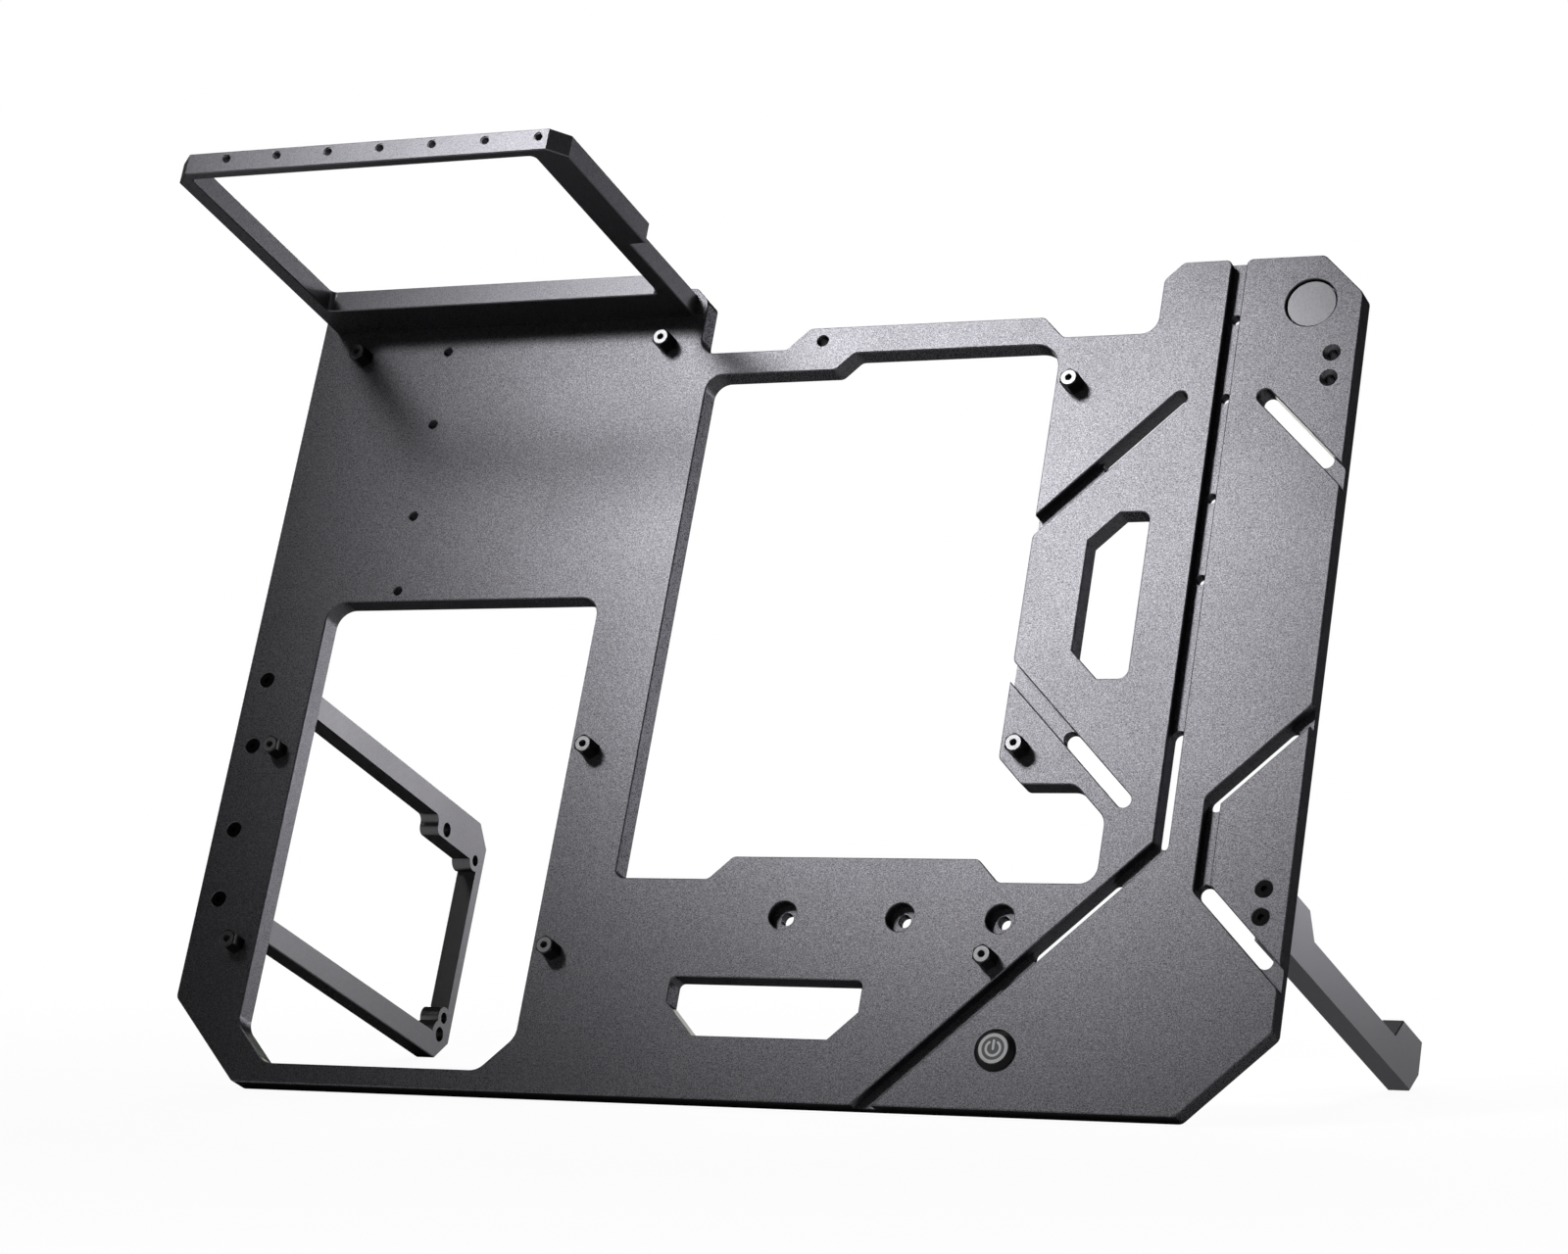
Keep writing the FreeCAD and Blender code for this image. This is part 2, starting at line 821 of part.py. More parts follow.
def make_main_plate():
    """The leaning plate with its windows, grooves, slots and holes."""
    body = new_body("main_plate")
    outline = plate_outline()
    window = large_window()
    sketch = new_sketch(body, "plate_outline", "XY_Plane")
    polygon(sketch, joined(outline))
    pad(body, sketch, d.plate_thickness, reverse=True)

    sketch = new_sketch(body, "plate_windows", "XY_Plane")
    for corners in (joined(window), side_window(), grip_window(), slot_window()):
        polygon(sketch, corners)
    pocket(body, sketch)

    small = outline["cut"] + outline["upper"] + outline["bar"] + outline["block"]
    small += window["small"] + window["lug"] + window["ramp"]
    soft = window["bay"] + window["upper_left"] + outline["tower_foot"] + outline["block_foot"]
    round_corners(body, "small_rounds", small, d.cut_round)
    round_corners(body, "soft_rounds", soft, d.notch_round)
    round_corners(body, "large_round", window["large"], d.window_large_round)
    round_corners(body, "side_window_rounds", side_window(), d.side_window_round)
    round_corners(body, "grip_rounds", grip_window()[:2], d.grip_round)
    round_corners(body, "slot_window_rounds", slot_window()[:2], d.slot_window_round)

    grooves = groove_paths()
    crossing = ("main_slant", "hook_upper", "hook_lower")
    apart = [name for name in grooves if name not in crossing]
    for sketch_name, names in (("grooves", apart), ("crossing_grooves", crossing)):
        sketch = new_sketch(body, sketch_name, "XY_Plane")
        for name in names:
            stadium(sketch, *grooves[name], d.groove_width)
        pocket(body, sketch, d.groove_depth)
    sketch = new_sketch(body, "slots", "XY_Plane")
    for start, end in slot_paths(grooves).values():
        stadium(sketch, start, end, d.groove_width)
    pocket(body, sketch)
    round_corners(body, "blunt_mouth_rounds", blunt_mouths(grooves), d.slant_mouth_round)
    round_corners(body, "square_mouth_rounds", square_mouths(grooves), d.upright_mouth_round)
    break_edges(body, "front_edge_break", "z", ZERO, d.edge_break)

    main = grooves["main_upright"][0][0]
    rows = accessory_rows()
    pump_columns = (d.pump_hole_a, d.pump_hole_b, d.pump_hole_c)
    pump_holes = [(column, d.pump_hole_height) for column in pump_columns]
    cable_holes = [(d.middle_column + d.cable_hole_inset, bar_top() - d.cable_hole_drop)]
    left_holes = [(d.accessory_column, row) for row in rows]
    groove_holes = [(main, row) for row in rows]
    sunk_holes = frame_screw_places() + leg_screw_places() + spare_hole_places()
    through_holes = (
        (board_holes(), d.thread),
        (left_holes + groove_holes, d.accessory_hole),
        (cable_holes, d.cable_hole),
        (pump_holes, d.pump_hole),
        (sunk_holes + bracket_screw_places(), d.clearance_hole),
        ([SWITCH], d.barrel_diameter + d.switch_hole_gap * 2),
    )
    sketch = new_sketch(body, "through_holes", "XY_Plane")
    for centres, diameter in through_holes:
        circles(sketch, centres, diameter)
    pocket(body, sketch)
    drill(body, "pump_counterbores", pump_holes, d.pump_counterbore, d.pump_counterbore_depth)
    recess = d.badge_diameter + d.badge_gap * 2
    drill(body, "badge_recess", [BADGE], recess, d.badge_recess)
    depth = d.head_counterbore_depth
    drill(body, "back_counterbores", bracket_screw_places(), d.head_counterbore, depth, BACK, True)

    sink = (d.countersink - d.clearance_hole) / 2
    break_holes(body, "countersinks", sunk_holes, d.clearance_hole, ZERO, sink)
    for name, centres, diameter, level in (
        ("left_hole_break", left_holes, d.accessory_hole, ZERO),
        ("groove_hole_break", groove_holes, d.accessory_hole, -d.groove_depth),
        ("cable_hole_break", cable_holes, d.cable_hole, ZERO),
        ("pump_hole_break", pump_holes, d.pump_counterbore, ZERO),
        ("badge_recess_break", [BADGE], recess, ZERO),
    ):
        break_holes(body, name, centres, diameter, level, d.hole_break)
    return body


def bar_top():
    """Height of the bar over the large window."""
    return TOP - d.notch_drop + d.bar_rise


def make_standoff(name, centre):
    """A hexagonal board standoff with a threaded bore and a stud into the plate."""
    body = new_body(name)
    sketch = new_sketch(body, f"{name}_hexagon", "XY_Plane")
    hexagon(sketch, centre, d.standoff_flats, 30)
    pad(body, sketch, d.standoff_height)
    top = d.standoff_height
    land = d.standoff_land / 2
    outside = d.standoff_flats * HEX_CORNER * 1.1
    drop = (outside - land) * d.standoff_chamfer
    cutter = [(land, top), (outside, top), (outside, top - drop)]
    sketch = new_sketch(body, f"{name}_chamfer", "XZ_Plane", -centre[1], (centre[0], None))
    polygon(sketch, cutter)
    groove = body.newObject("PartDesign::Groove", f"{name}_chamfer_turn")
    groove.Profile = sketch
    groove.ReferenceAxis = (sketch, ["V_Axis"])
    groove.Angle = 360
    drill(body, f"{name}_bore", [centre], d.standoff_bore, d.standoff_bore_depth, top)
    sketch = new_sketch(body, f"{name}_stud", "XY_Plane")
    circles(sketch, [centre], d.thread - d.thread_clearance * 2)
    pad(body, sketch, d.stud_length, reverse=True)
    return body


def make_cap_screw(name, centre):
    """A cap screw with its head in the back of the plate."""
    body = new_body(name)
    head = d.screw_head / 2
    shank = d.thread / 2 - d.thread_clearance
    top = BACK_SEAT - d.screw_head_height
    tip = BACK_SEAT + d.screw_length
    profile = [
        (ZERO, top),
        (head, top),
        (head, BACK_SEAT),
        (shank, BACK_SEAT),
        (shank, tip),
        (ZERO, tip),
    ]
    spin(body, f"{name}_profile", profile, centre)
    sketch = new_sketch(body, f"{name}_socket", "XY_Plane", top)
    hexagon(sketch, centre, d.screw_socket, 0)
    pocket(body, sketch, d.screw_socket_depth, reverse=True)
    return body


def make_flat_screw(name, centre):
    """A flat head screw in a countersink of the plate's front."""
    body = new_body(name)
    head = d.countersink / 2 - d.flat_sink - d.flat_rim
    shank = d.thread / 2 - d.thread_clearance
    top = -d.flat_sink
    rim = top - d.flat_rim
    tip = FRONT_TIP
    profile = [
        (ZERO, top),
        (head, top),
        (head, rim),
        (shank, rim - (head - shank)),
        (shank, tip),
        (ZERO, tip),
    ]
    spin(body, f"{name}_profile", profile, centre)
    sketch = new_sketch(body, f"{name}_socket", "XY_Plane", top)
    hexagon(sketch, centre, d.flat_socket, 0)
    pocket(body, sketch, d.flat_socket_depth)
    return body


def make_slot_bracket():
    """The slotted bracket that stands out of the plate's front, with seven card screw holes."""
    body = new_body("slot_bracket")
    left = LEFT + d.bracket_left_inset
    right = d.middle_column + d.bracket_right_inset
    step = right - d.bracket_step
    step_reach = d.bracket_step_reach
    end = d.bracket_reach
    cut = d.bracket_cut
    outline = [
        (left, ZERO),
        (step, ZERO),
        (step, step_reach),
        (right, step_reach + d.edge_break),
        (right, end - cut),
        (right - cut, end),
        (left + cut, end),
        (left, end - cut),
    ]
    opening = [
        (left + d.bracket_left_rail, d.bracket_base_bar),
        (right - d.bracket_right_rail, d.bracket_base_bar),
        (right - d.bracket_right_rail, end - d.bracket_end_bar),
        (left + d.bracket_left_rail, end - d.bracket_end_bar),
    ]
    sketch = new_sketch(body, "bracket_outline", "XZ_Plane", -BRACKET_TOP)
    polygon(sketch, outline)
    pad(body, sketch, d.bracket_thickness)
    sketch = new_sketch(body, "bracket_opening", "XZ_Plane", -BRACKET_BOTTOM)
    polygon(sketch, opening)
    pocket(body, sketch)
    round_corners(body, "bracket_opening_rounds", opening, d.bracket_round, "y")
    break_edges(body, "bracket_lower_break", "y", BRACKET_BOTTOM, d.edge_break)
    break_edges(body, "bracket_upper_break", "y", BRACKET_TOP, d.edge_break)

    height = BRACKET_BOTTOM + d.slot_hole_depth_offset
    holes = [(d.first_slot_hole + d.slot_pitch * slot, height) for slot in range(7)]
    countersink = (d.slot_hole_mouth - d.slot_hole) / 2
    drill(body, "card_screw_mouths", holes, d.slot_hole_mouth, countersink, end)
    drill(body, "card_screw_holes", holes, d.slot_hole, d.bracket_end_bar, end)
    depth = BACK_SEAT + d.screw_length + d.thread_spare
    drill(body, "bracket_screw_holes", bracket_screw_places(), d.thread, depth, ZERO, True)
    return body


def frame_outline():
    """Outer corners of the power supply frame, as (height, depth)."""
    return [
        (FOOT_LEVEL, BACK),
        (FRAME_TOP, BACK),
        (FRAME_TOP, SUPPORT_REAR + d.foot_cut),
        (FRAME_TOP - d.foot_cut, SUPPORT_REAR),
        (FOOT_LEVEL + d.foot_cut, SUPPORT_REAR),
        (FOOT_LEVEL, FOOT),
    ]


def frame_window():
    """Corners of the frame's window, as (height, depth), measured from the holes beside it."""
    low_top = FOOT_LEVEL + d.supply_hole_height + d.supply_rise_far - d.frame_far_cover
    top = low_top + d.frame_step
    front_hole = SUPPORT_REAR + d.supply_hole_inset + d.supply_pitch_long
    front = front_hole - d.frame_front_cover
    rear = SUPPORT_REAR + d.frame_rear_bar
    bottom = FOOT_LEVEL + d.frame_bottom_bar
    step = front_hole - d.supply_pitch_short + d.frame_step_cover
    return [
        (bottom, front),
        (top, front),
        (top, step),
        (low_top, step),
        (low_top, rear),
        (bottom, rear),
    ]


def supply_holes():
    """Centres of the power supply screw holes: small ones, then large ones."""
    rear = SUPPORT_REAR + d.supply_hole_inset
    front = rear + d.supply_pitch_long
    bottom = FOOT_LEVEL + d.supply_hole_height
    flipped = SUPPORT_REAR + d.flipped_hole_inset
    flipped_top = FOOT_LEVEL + d.flipped_hole_height
    small = [
        (flipped_top, flipped),
        (flipped_top - d.supply_rise, flipped),
        (bottom, front),
        (bottom + d.supply_rise, front),
    ]
    large = [
        (bottom, rear),
        (bottom + d.supply_rise_far, front - d.supply_pitch_short),
    ]
    return small, large


def make_supply_frame():
    """The frame behind the left edge that carries the power supply."""
    body = new_body("supply_frame")
    near = LEFT + d.frame_left_inset
    far = near + d.support_thickness
    small, large = supply_holes()
    window = frame_window()
    sketch = new_sketch(body, "frame_outline", "YZ_Plane", near)
    polygon(sketch, frame_outline())
    pad(body, sketch, d.support_thickness)
    break_edges(body, "frame_outer_break", "x", near, d.edge_break)
    break_edges(body, "frame_inner_break", "x", far, d.edge_break)
    sketch = new_sketch(body, "frame_window", "YZ_Plane", far)
    polygon(sketch, window)
    pocket(body, sketch)
    round_corners(body, "frame_window_rounds", window, d.frame_round, "x")

    lobes = (
        ("flipped_lobes", small[:2], d.frame_lobe),
        ("corner_lobe", large[:1], d.frame_large_lobe),
    )
    for name, centres, radius in lobes:
        sketch = new_sketch(body, name, "YZ_Plane", near)
        circles(sketch, centres, radius * 2)
        pad(body, sketch, d.support_thickness)
    for name, centres, size in (
        ("supply_holes", small, d.supply_hole),
        ("large_supply_holes", large, d.supply_large_hole),
    ):
        sketch = new_sketch(body, name, "YZ_Plane", far)
        circles(sketch, centres, size)
        pocket(body, sketch)
    depth = BACK - FRONT_TIP + d.thread_spare
    drill(body, "frame_screw_holes", frame_screw_places(), d.thread, depth, BACK)
    return body


def make_leg():
    """The low leg behind the right edge."""
    body = new_body("side_leg")
    middle = RIGHT - d.leg_right_inset
    near = middle - d.support_thickness / 2
    bar = FOOT_LEVEL + d.leg_bar
    end = FOOT_LEVEL + d.leg_end
    rise = d.leg_end - d.leg_bar
    outline = [
        (FOOT_LEVEL, BACK),
        (end, BACK),
        (end, BACK - d.leg_front_run),
        (bar, BACK - d.leg_front_run - rise),
        (bar, SUPPORT_REAR + d.leg_rear_run + rise),
        (end, SUPPORT_REAR + d.leg_rear_run),
        (end, SUPPORT_REAR),
        (FOOT_LEVEL + d.foot_cut, SUPPORT_REAR),
        (FOOT_LEVEL, FOOT),
    ]
    sketch = new_sketch(body, "leg_outline", "YZ_Plane", near)
    polygon(sketch, outline)
    pad(body, sketch, d.support_thickness)
    break_edges(body, "leg_inner_break", "x", near, d.edge_break)
    break_edges(body, "leg_outer_break", "x", near + d.support_thickness, d.edge_break)
    depth = BACK - FRONT_TIP + d.thread_spare
    drill(body, "leg_screw_holes", leg_screw_places(), d.thread, depth, BACK)
    return body


def make_badge():
    """The bare disc in its recess."""
    body = new_body("badge_disc")
    radius = d.badge_diameter / 2
    floor = -d.badge_recess
    rim = floor + d.badge_rim
    profile = [
        (ZERO, floor),
        (radius, floor),
        (radius, rim - d.badge_edge),
        (radius - d.badge_edge, rim),
        (ZERO, rim),
    ]
    spin(body, "badge_profile", profile, BADGE)
    return body


def make_switch_body():
    """The bezel and threaded barrel of the push button."""
    body = new_body("switch_body")
    opening = d.ring_diameter / 2 + d.cap_gap
    outer = d.barrel_diameter / 2
    inner = outer - d.barrel_wall
    lip = d.bezel_height - d.bezel_lip
    profile = [
        (opening, d.bezel_height),
        (d.bezel_top_diameter / 2, d.bezel_height),
        (d.bezel_diameter / 2, d.bezel_edge),
        (d.bezel_diameter / 2, ZERO),
        (outer, ZERO),
        (outer, -d.barrel_length),
        (inner, -d.barrel_length),
        (inner, lip),
        (opening, lip),
    ]
    spin(body, "bezel_profile", profile, SWITCH)
    return body


def stem_foot():
    """Height of the end of the cap's stem."""
    flange_top = d.bezel_height - d.bezel_lip - d.cap_flange_gap
    return flange_top - d.cap_flange - d.cap_stem_length


def make_switch_cap():
    """The moving cap, with a step for its ring and a flange under the bezel's lip."""
    body = new_body("switch_cap")
    face = d.ring_diameter / 2 - d.ring_width
    outer = d.ring_diameter / 2
    flange = d.barrel_diameter / 2 - d.barrel_wall - d.cap_gap
    flange_top = d.bezel_height - d.bezel_lip - d.cap_flange_gap
    flange_foot = flange_top - d.cap_flange
    stem = d.cap_stem_diameter / 2
    foot = stem_foot()
    profile = [
        (ZERO, d.cap_face),
        (face, d.cap_face),
        (face, d.cap_face - d.ring_depth),
        (outer, d.cap_face - d.ring_depth),
        (outer, flange_top),
        (flange, flange_top),
        (flange, flange_foot),
        (stem, flange_foot),
        (stem, foot),
        (ZERO, foot),
    ]
    spin(body, "cap_profile", profile, SWITCH)
    return body


def make_switch_ring():
    """The light ring round the cap's face."""
    body = new_body("switch_ring")
    inner = d.ring_diameter / 2 - d.ring_width
    outer = d.ring_diameter / 2
    foot = d.cap_face - d.ring_depth
    profile = [(inner, d.cap_face), (outer, d.cap_face), (outer, foot), (inner, foot)]
    spin(body, "ring_profile", profile, SWITCH)
    return body


def make_switch_base():
    """The plug that closes the barrel, up to just short of the pressed stem."""
    body = new_body("switch_base")
    outer = d.barrel_diameter / 2
    plug = outer - d.barrel_wall - d.thread_clearance
    seat = -d.barrel_length
    contact = stem_foot() - d.cap_travel - d.contact_gap
    profile = [
        (ZERO, seat - d.switch_base_depth),
        (outer, seat - d.switch_base_depth),
        (outer, seat),
        (plug, seat),
        (plug, contact),
        (ZERO, contact),
    ]
    spin(body, "base_profile", profile, SWITCH)
    return body


def make_terminal(name, across, up):
    """One flat terminal at the back of the switch."""
    body = new_body(name)
    x = SWITCH[0] + d.terminal_spread * across
    y = SWITCH[1] + d.terminal_spread * up
    half_width = d.terminal_width / 2
    half_thickness = d.terminal_thickness / 2
    sketch = new_sketch(body, f"{name}_section", "XY_Plane", -d.barrel_length - d.switch_base_depth)
    polygon(sketch, [
        (x - half_width, y - half_thickness),
        (x + half_width, y - half_thickness),
        (x + half_width, y + half_thickness),
        (x - half_width, y + half_thickness),
    ])
    pad(body, sketch, d.terminal_length, reverse=True)
    return body


def make_switch_nut():
    """The hexagonal nut that clamps the switch from behind."""
    body = new_body("switch_nut")
    sketch = new_sketch(body, "nut_outline", "XY_Plane", BACK)
    hexagon(sketch, SWITCH, d.nut_flats, 0)
    circles(sketch, [SWITCH], d.barrel_diameter + d.thread_clearance * 2)
    pad(body, sketch, d.nut_height, reverse=True)
    return body


def make_bodies():
    """Every piece of the bench."""
    bodies = [make_main_plate(), make_slot_bracket(), make_supply_frame(), make_leg()]
    bodies.append(make_badge())
    for number, centre in enumerate(board_holes(), 1):
        bodies.append(make_standoff(f"standoff_{number}", centre))
    for number, centre in enumerate(bracket_screw_places(), 1):
        bodies.append(make_cap_screw(f"bracket_screw_{number}", centre))
    for number, centre in enumerate(frame_screw_places(), 1):
        bodies.append(make_flat_screw(f"frame_screw_{number}", centre))
    for number, centre in enumerate(leg_screw_places(), 1):
        bodies.append(make_flat_screw(f"leg_screw_{number}", centre))
    bodies.append(make_switch_body())
    bodies.append(make_switch_cap())
    bodies.append(make_switch_ring())
    bodies.append(make_switch_base())
    bodies.append(make_switch_nut())
    places = ((-1, 0), (1, 0), (0, -1), (0, 1))
    for number, (across, up) in enumerate(places, 1):
        bodies.append(make_terminal(f"switch_terminal_{number}", across, up))
    for body in bodies:
        stand_up(body)
    return bodies


def check_document(bodies):
    """Stops when an object failed, a cut took nothing away or a piece isn't a sound solid."""
    for thing in doc.Objects:
        if "Invalid" in thing.State or "Error" in thing.State:
            raise RuntimeError(f"{thing.Name} failed: {thing.State}")
        if thing.TypeId in ("PartDesign::Pocket", "PartDesign::Groove"):
            if thing.BaseFeature.Shape.Volume - thing.Shape.Volume < 1e-3:
                raise RuntimeError(f"{thing.Name} cuts nothing")
    for body in bodies:
        if body.Shape.isNull() or not body.Shape.isValid():
            raise RuntimeError(f"{body.Label} is not a sound shape")


bodies = make_bodies()
doc.recompute()
check_document(bodies)
os.makedirs("parts", exist_ok=True)
for body in bodies:
    body.Shape.exportStep(f"parts/{body.Label}.step")
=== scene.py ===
import json
import math

import bmesh
import bpy
from bpy.props import FloatProperty, FloatVectorProperty, IntProperty, PointerProperty
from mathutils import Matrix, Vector


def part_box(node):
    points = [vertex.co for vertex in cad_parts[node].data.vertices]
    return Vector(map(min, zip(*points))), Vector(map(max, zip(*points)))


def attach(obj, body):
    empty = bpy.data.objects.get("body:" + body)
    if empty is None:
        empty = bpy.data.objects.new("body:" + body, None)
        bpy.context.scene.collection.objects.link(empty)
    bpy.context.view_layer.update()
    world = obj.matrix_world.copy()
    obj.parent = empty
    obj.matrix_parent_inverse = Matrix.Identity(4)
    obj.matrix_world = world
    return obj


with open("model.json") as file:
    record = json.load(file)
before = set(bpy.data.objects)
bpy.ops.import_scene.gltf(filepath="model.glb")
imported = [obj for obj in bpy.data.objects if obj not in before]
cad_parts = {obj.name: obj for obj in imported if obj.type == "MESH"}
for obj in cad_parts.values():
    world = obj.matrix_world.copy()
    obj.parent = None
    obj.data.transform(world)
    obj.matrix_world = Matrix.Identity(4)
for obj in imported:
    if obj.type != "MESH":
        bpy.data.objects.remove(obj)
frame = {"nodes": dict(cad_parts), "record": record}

bl_info = {
    "name": "Open air test bench",
    "version": (1, 0, 0),
    "blender": (4, 5, 0),
    "location": "3D View > Sidebar > Test Bench",
    "description": "Finishes and fine pieces of a leaning open air test bench, with its studio",
    "category": "Object",
}

MILLIMETRE = 0.001
NODES = frame["nodes"]
MOUNTS = {mount["name"]: mount for mount in frame["record"]["mounts"]}

# the plate's own directions in the shared frame
OUTWARD = Vector(MOUNTS["board_standoff_1"]["axis"]).normalized()
ALONG = Vector((1, 0, 0))
UPWARD = OUTWARD.cross(ALONG)

BENCH_BODY = "bench"
BUTTON_BODY = "button"

# the range that noise seldom leaves
NOISE_LOW = 0.3
NOISE_HIGH = 0.7

# how nearly a face has to point along a direction, as a cosine
FACING_LIMIT = 0.995

# the thread ridges: corners of their section, and heights
RIDGE_CORNERS = 4
STANDOFF_RIDGE = 0.12 * MILLIMETRE
TAPPED_RIDGE = 0.15 * MILLIMETRE
BARREL_RIDGE = 0.22 * MILLIMETRE

# turns' worth of length that a thread leaves plain, in a hole and on the barrel
HOLE_PLAIN_TURNS = 1
BARREL_PLAIN_TURNS = 3

# from the middle of the button's nut to the end of the barrel's thread
NUT_TO_THREAD = 2.0 * MILLIMETRE

# the button's barrel and ring in the CAD model
BARREL_RADIUS = 5.9 * MILLIMETRE
RING_DEPTH = 0.8 * MILLIMETRE

# the stage, in metres, with the camera's sensor in millimetres
SENSOR_WIDTH = 36.0
FLOOR_SIZE = 12.0
FLOOR_NEAR = 0.3
FLOOR_FAR = 0.7
WALL_FADE = 0.1
CLIP_START = 0.05
BENCH_TARGET = Vector((0.07, -0.028, 0.188))
SIDE_PLACE = Vector((0.92, 1.78, 0.2))
SIDE_TARGET = Vector((0.0, 0.0, 0.2))
SIDE_SIZE = (1.1, 0.35)
REAR_PLACE = Vector((-0.9, 1.9, 0.45))
REAR_SIZE = (1.2, 1.2)
TOP_PLACE = Vector((0.0, 0.6, 2.0))
TOP_TARGET = Vector((0.0, 0.1, 0.0))
TOP_SIZE = (1.0, 1.0)


# node trees


class Tree:
    """A node tree with a few short ways to add and join nodes."""

    def __init__(self, tree):
        self.tree = tree
        self.tree.nodes.clear()

    def add(self, kind, **settings):
        node = self.tree.nodes.new(kind)
        for name, value in settings.items():
            setattr(node, name, value)
        return node

    def join(self, source, target):
        self.tree.links.new(source, target)

    def fill(self, socket, value):
        """Links a socket, or sets its number or colour."""
        if isinstance(value, bpy.types.NodeSocket):
            self.join(value, socket)
        else:
            socket.default_value = value

    def math(self, operation, first, second):
        node = self.add("ShaderNodeMath", operation=operation)
        self.fill(node.inputs[0], first)
        self.fill(node.inputs[1], second)
        return node.outputs["Value"]

    def spread(self, value, low, high, start, end):
        """Maps a number from one range to another."""
        node = self.add("ShaderNodeMapRange")
        self.join(value, node.inputs["Value"])
        node.inputs["From Min"].default_value = start
        node.inputs["From Max"].default_value = end
        node.inputs["To Min"].default_value = low
        node.inputs["To Max"].default_value = high
        return node.outputs["Result"]

    def mix(self, factor, first, second):
        """One shader between two others."""
        node = self.add("ShaderNodeMixShader")
        self.join(factor, node.inputs["Fac"])
        self.join(first, node.inputs[1])
        self.join(second, node.inputs[2])
        return node.outputs["Shader"]

    def white_where_seen(self, plain, background):
        """A plain shader, but a background for the camera and for mirrors."""
        path = self.add("ShaderNodeLightPath")
        seen = path.outputs["Is Camera Ray"]
        for name in ("Is Glossy Ray", "Is Transmission Ray"):
            seen = self.math("MAXIMUM", seen, path.outputs[name])
        return self.mix(seen, plain, background)


# materials


class Shader(Tree):
    """A new node material round one principled surface."""

    def __init__(self, name):
        self.material = bpy.data.materials.new(name)
        self.material.use_nodes = True
        super().__init__(self.material.node_tree)
        self.surface = self.add("ShaderNodeBsdfPrincipled")
        output = self.add("ShaderNodeOutputMaterial")
        self.join(self.surface.outputs["BSDF"], output.inputs["Surface"])
        self.place = self.add("ShaderNodeTexCoord").outputs["Object"]

    def noise(self, grain, detail=2.0, roughness=0.5):
        """Noise whose features are about one grain across, from 0 to 1."""
        node = self.add("ShaderNodeTexNoise")
        self.join(self.place, node.inputs["Vector"])
        node.inputs["Scale"].default_value = 1 / grain
        node.inputs["Detail"].default_value = detail
        node.inputs["Roughness"].default_value = roughness
        return node.outputs["Fac"]

    def over_noise(self, noise, low, high):
        """A number that goes from low to high as the noise does."""
        return self.spread(noise, low, high, NOISE_LOW, NOISE_HIGH)

    def blend(self, factor, first, second):
        """A colour between two others."""
        node = self.add("ShaderNodeMix", data_type="RGBA")
        self.fill(node.inputs["Factor"], factor)
        self.fill(node.inputs["A"], first)
        self.fill(node.inputs["B"], second)
        return node.outputs["Result"]

    def facing(self, direction):
        """1 on faces that point along a direction, and 0 elsewhere."""
        normal = self.add("ShaderNodeNewGeometry").outputs["True Normal"]
        node = self.add("ShaderNodeVectorMath", operation="DOT_PRODUCT")
        self.join(normal, node.inputs[0])
        node.inputs[1].default_value = direction
        return self.math("GREATER_THAN", node.outputs["Value"], FACING_LIMIT)

    def bump(self, height, distance):
        node = self.add("ShaderNodeBump")
        self.join(height, node.inputs["Height"])
        node.inputs["Distance"].default_value = distance
        return node.outputs["Normal"]

    def finish(self, **sockets):
        """Fills the surface's own sockets by name and gives the material."""
        for name, value in sockets.items():
            self.fill(self.surface.inputs[name.replace("_", " ")], value)
        return self.material


def colour(shade):
    """A colour with its alpha."""
    return (*shade, 1.0)


def anodised(name, tone, glancing_shade, contrast, metal, settings):
    """Black anodised, fine blasted aluminium, kept dark at glancing angles by its edge tint as
    painted shade.
    """
    shader = Shader(name)
    grain = shader.noise(settings.grain, detail=1.0, roughness=0.6)
    cloud = shader.noise(settings.cloud, detail=3.0)
    dark = Vector(tone) * (1 - contrast)
    light = Vector(tone) * (1 + contrast)
    low = settings.roughness - settings.roughness_spread
    high = settings.roughness + settings.roughness_spread
    return shader.finish(
        Base_Color=shader.blend(shader.over_noise(grain, 0.0, 1.0), colour(dark), colour(light)),
        Metallic=metal,
        Roughness=shader.over_noise(cloud, low, high),
        Normal=shader.bump(grain, settings.grain_height),
        Specular_IOR_Level=0.0,
        Specular_Tint=colour(glancing_shade),
    )


def black_nickel(settings):
    """Black plated standoffs, with a painted highlight on their outward tops."""
    shader = Shader("black_nickel")
    painted_highlight_mask = shader.facing(OUTWARD)
    turning = shader.noise(0.15 * MILLIMETRE, detail=1.0)
    return shader.finish(
        Base_Color=shader.blend(painted_highlight_mask, colour(settings.nickel), colour(settings.painted_top_highlight)),
        Metallic=1.0,
        Roughness=shader.over_noise(turning, 0.28, 0.38),
        Normal=shader.bump(turning, 0.004 * MILLIMETRE),
    )


def mottled(name, tone, darkest, grain, detail, roughness, height, relief=None, **sockets):
    """A finish whose colour, roughness and relief follow one noise.

    Where relief gives another grain size, the relief follows a noise of that size.
    """
    shader = Shader(name)
    noise = shader.noise(grain, detail)
    raised = noise if relief is None else shader.noise(relief)
    dark = Vector(tone) * darkest
    return shader.finish(
        Base_Color=shader.blend(noise, colour(dark), colour(tone)),
        Roughness=shader.over_noise(noise, *roughness),
        Normal=shader.bump(raised, height),
        **sockets,
    )


def black_oxide_and_shade(settings):
    """Black oxide steel of the socket screws, made near black as painted shade of their recesses.
    """
    return mottled(
        "black_oxide_steel",
        settings.oxide_and_recess_shade,
        darkest=0.6,
        grain=0.8 * MILLIMETRE,
        detail=3.0,
        roughness=(0.3, 0.45),
        height=0.003 * MILLIMETRE,
        relief=0.1 * MILLIMETRE,
        Metallic=1.0,
    )


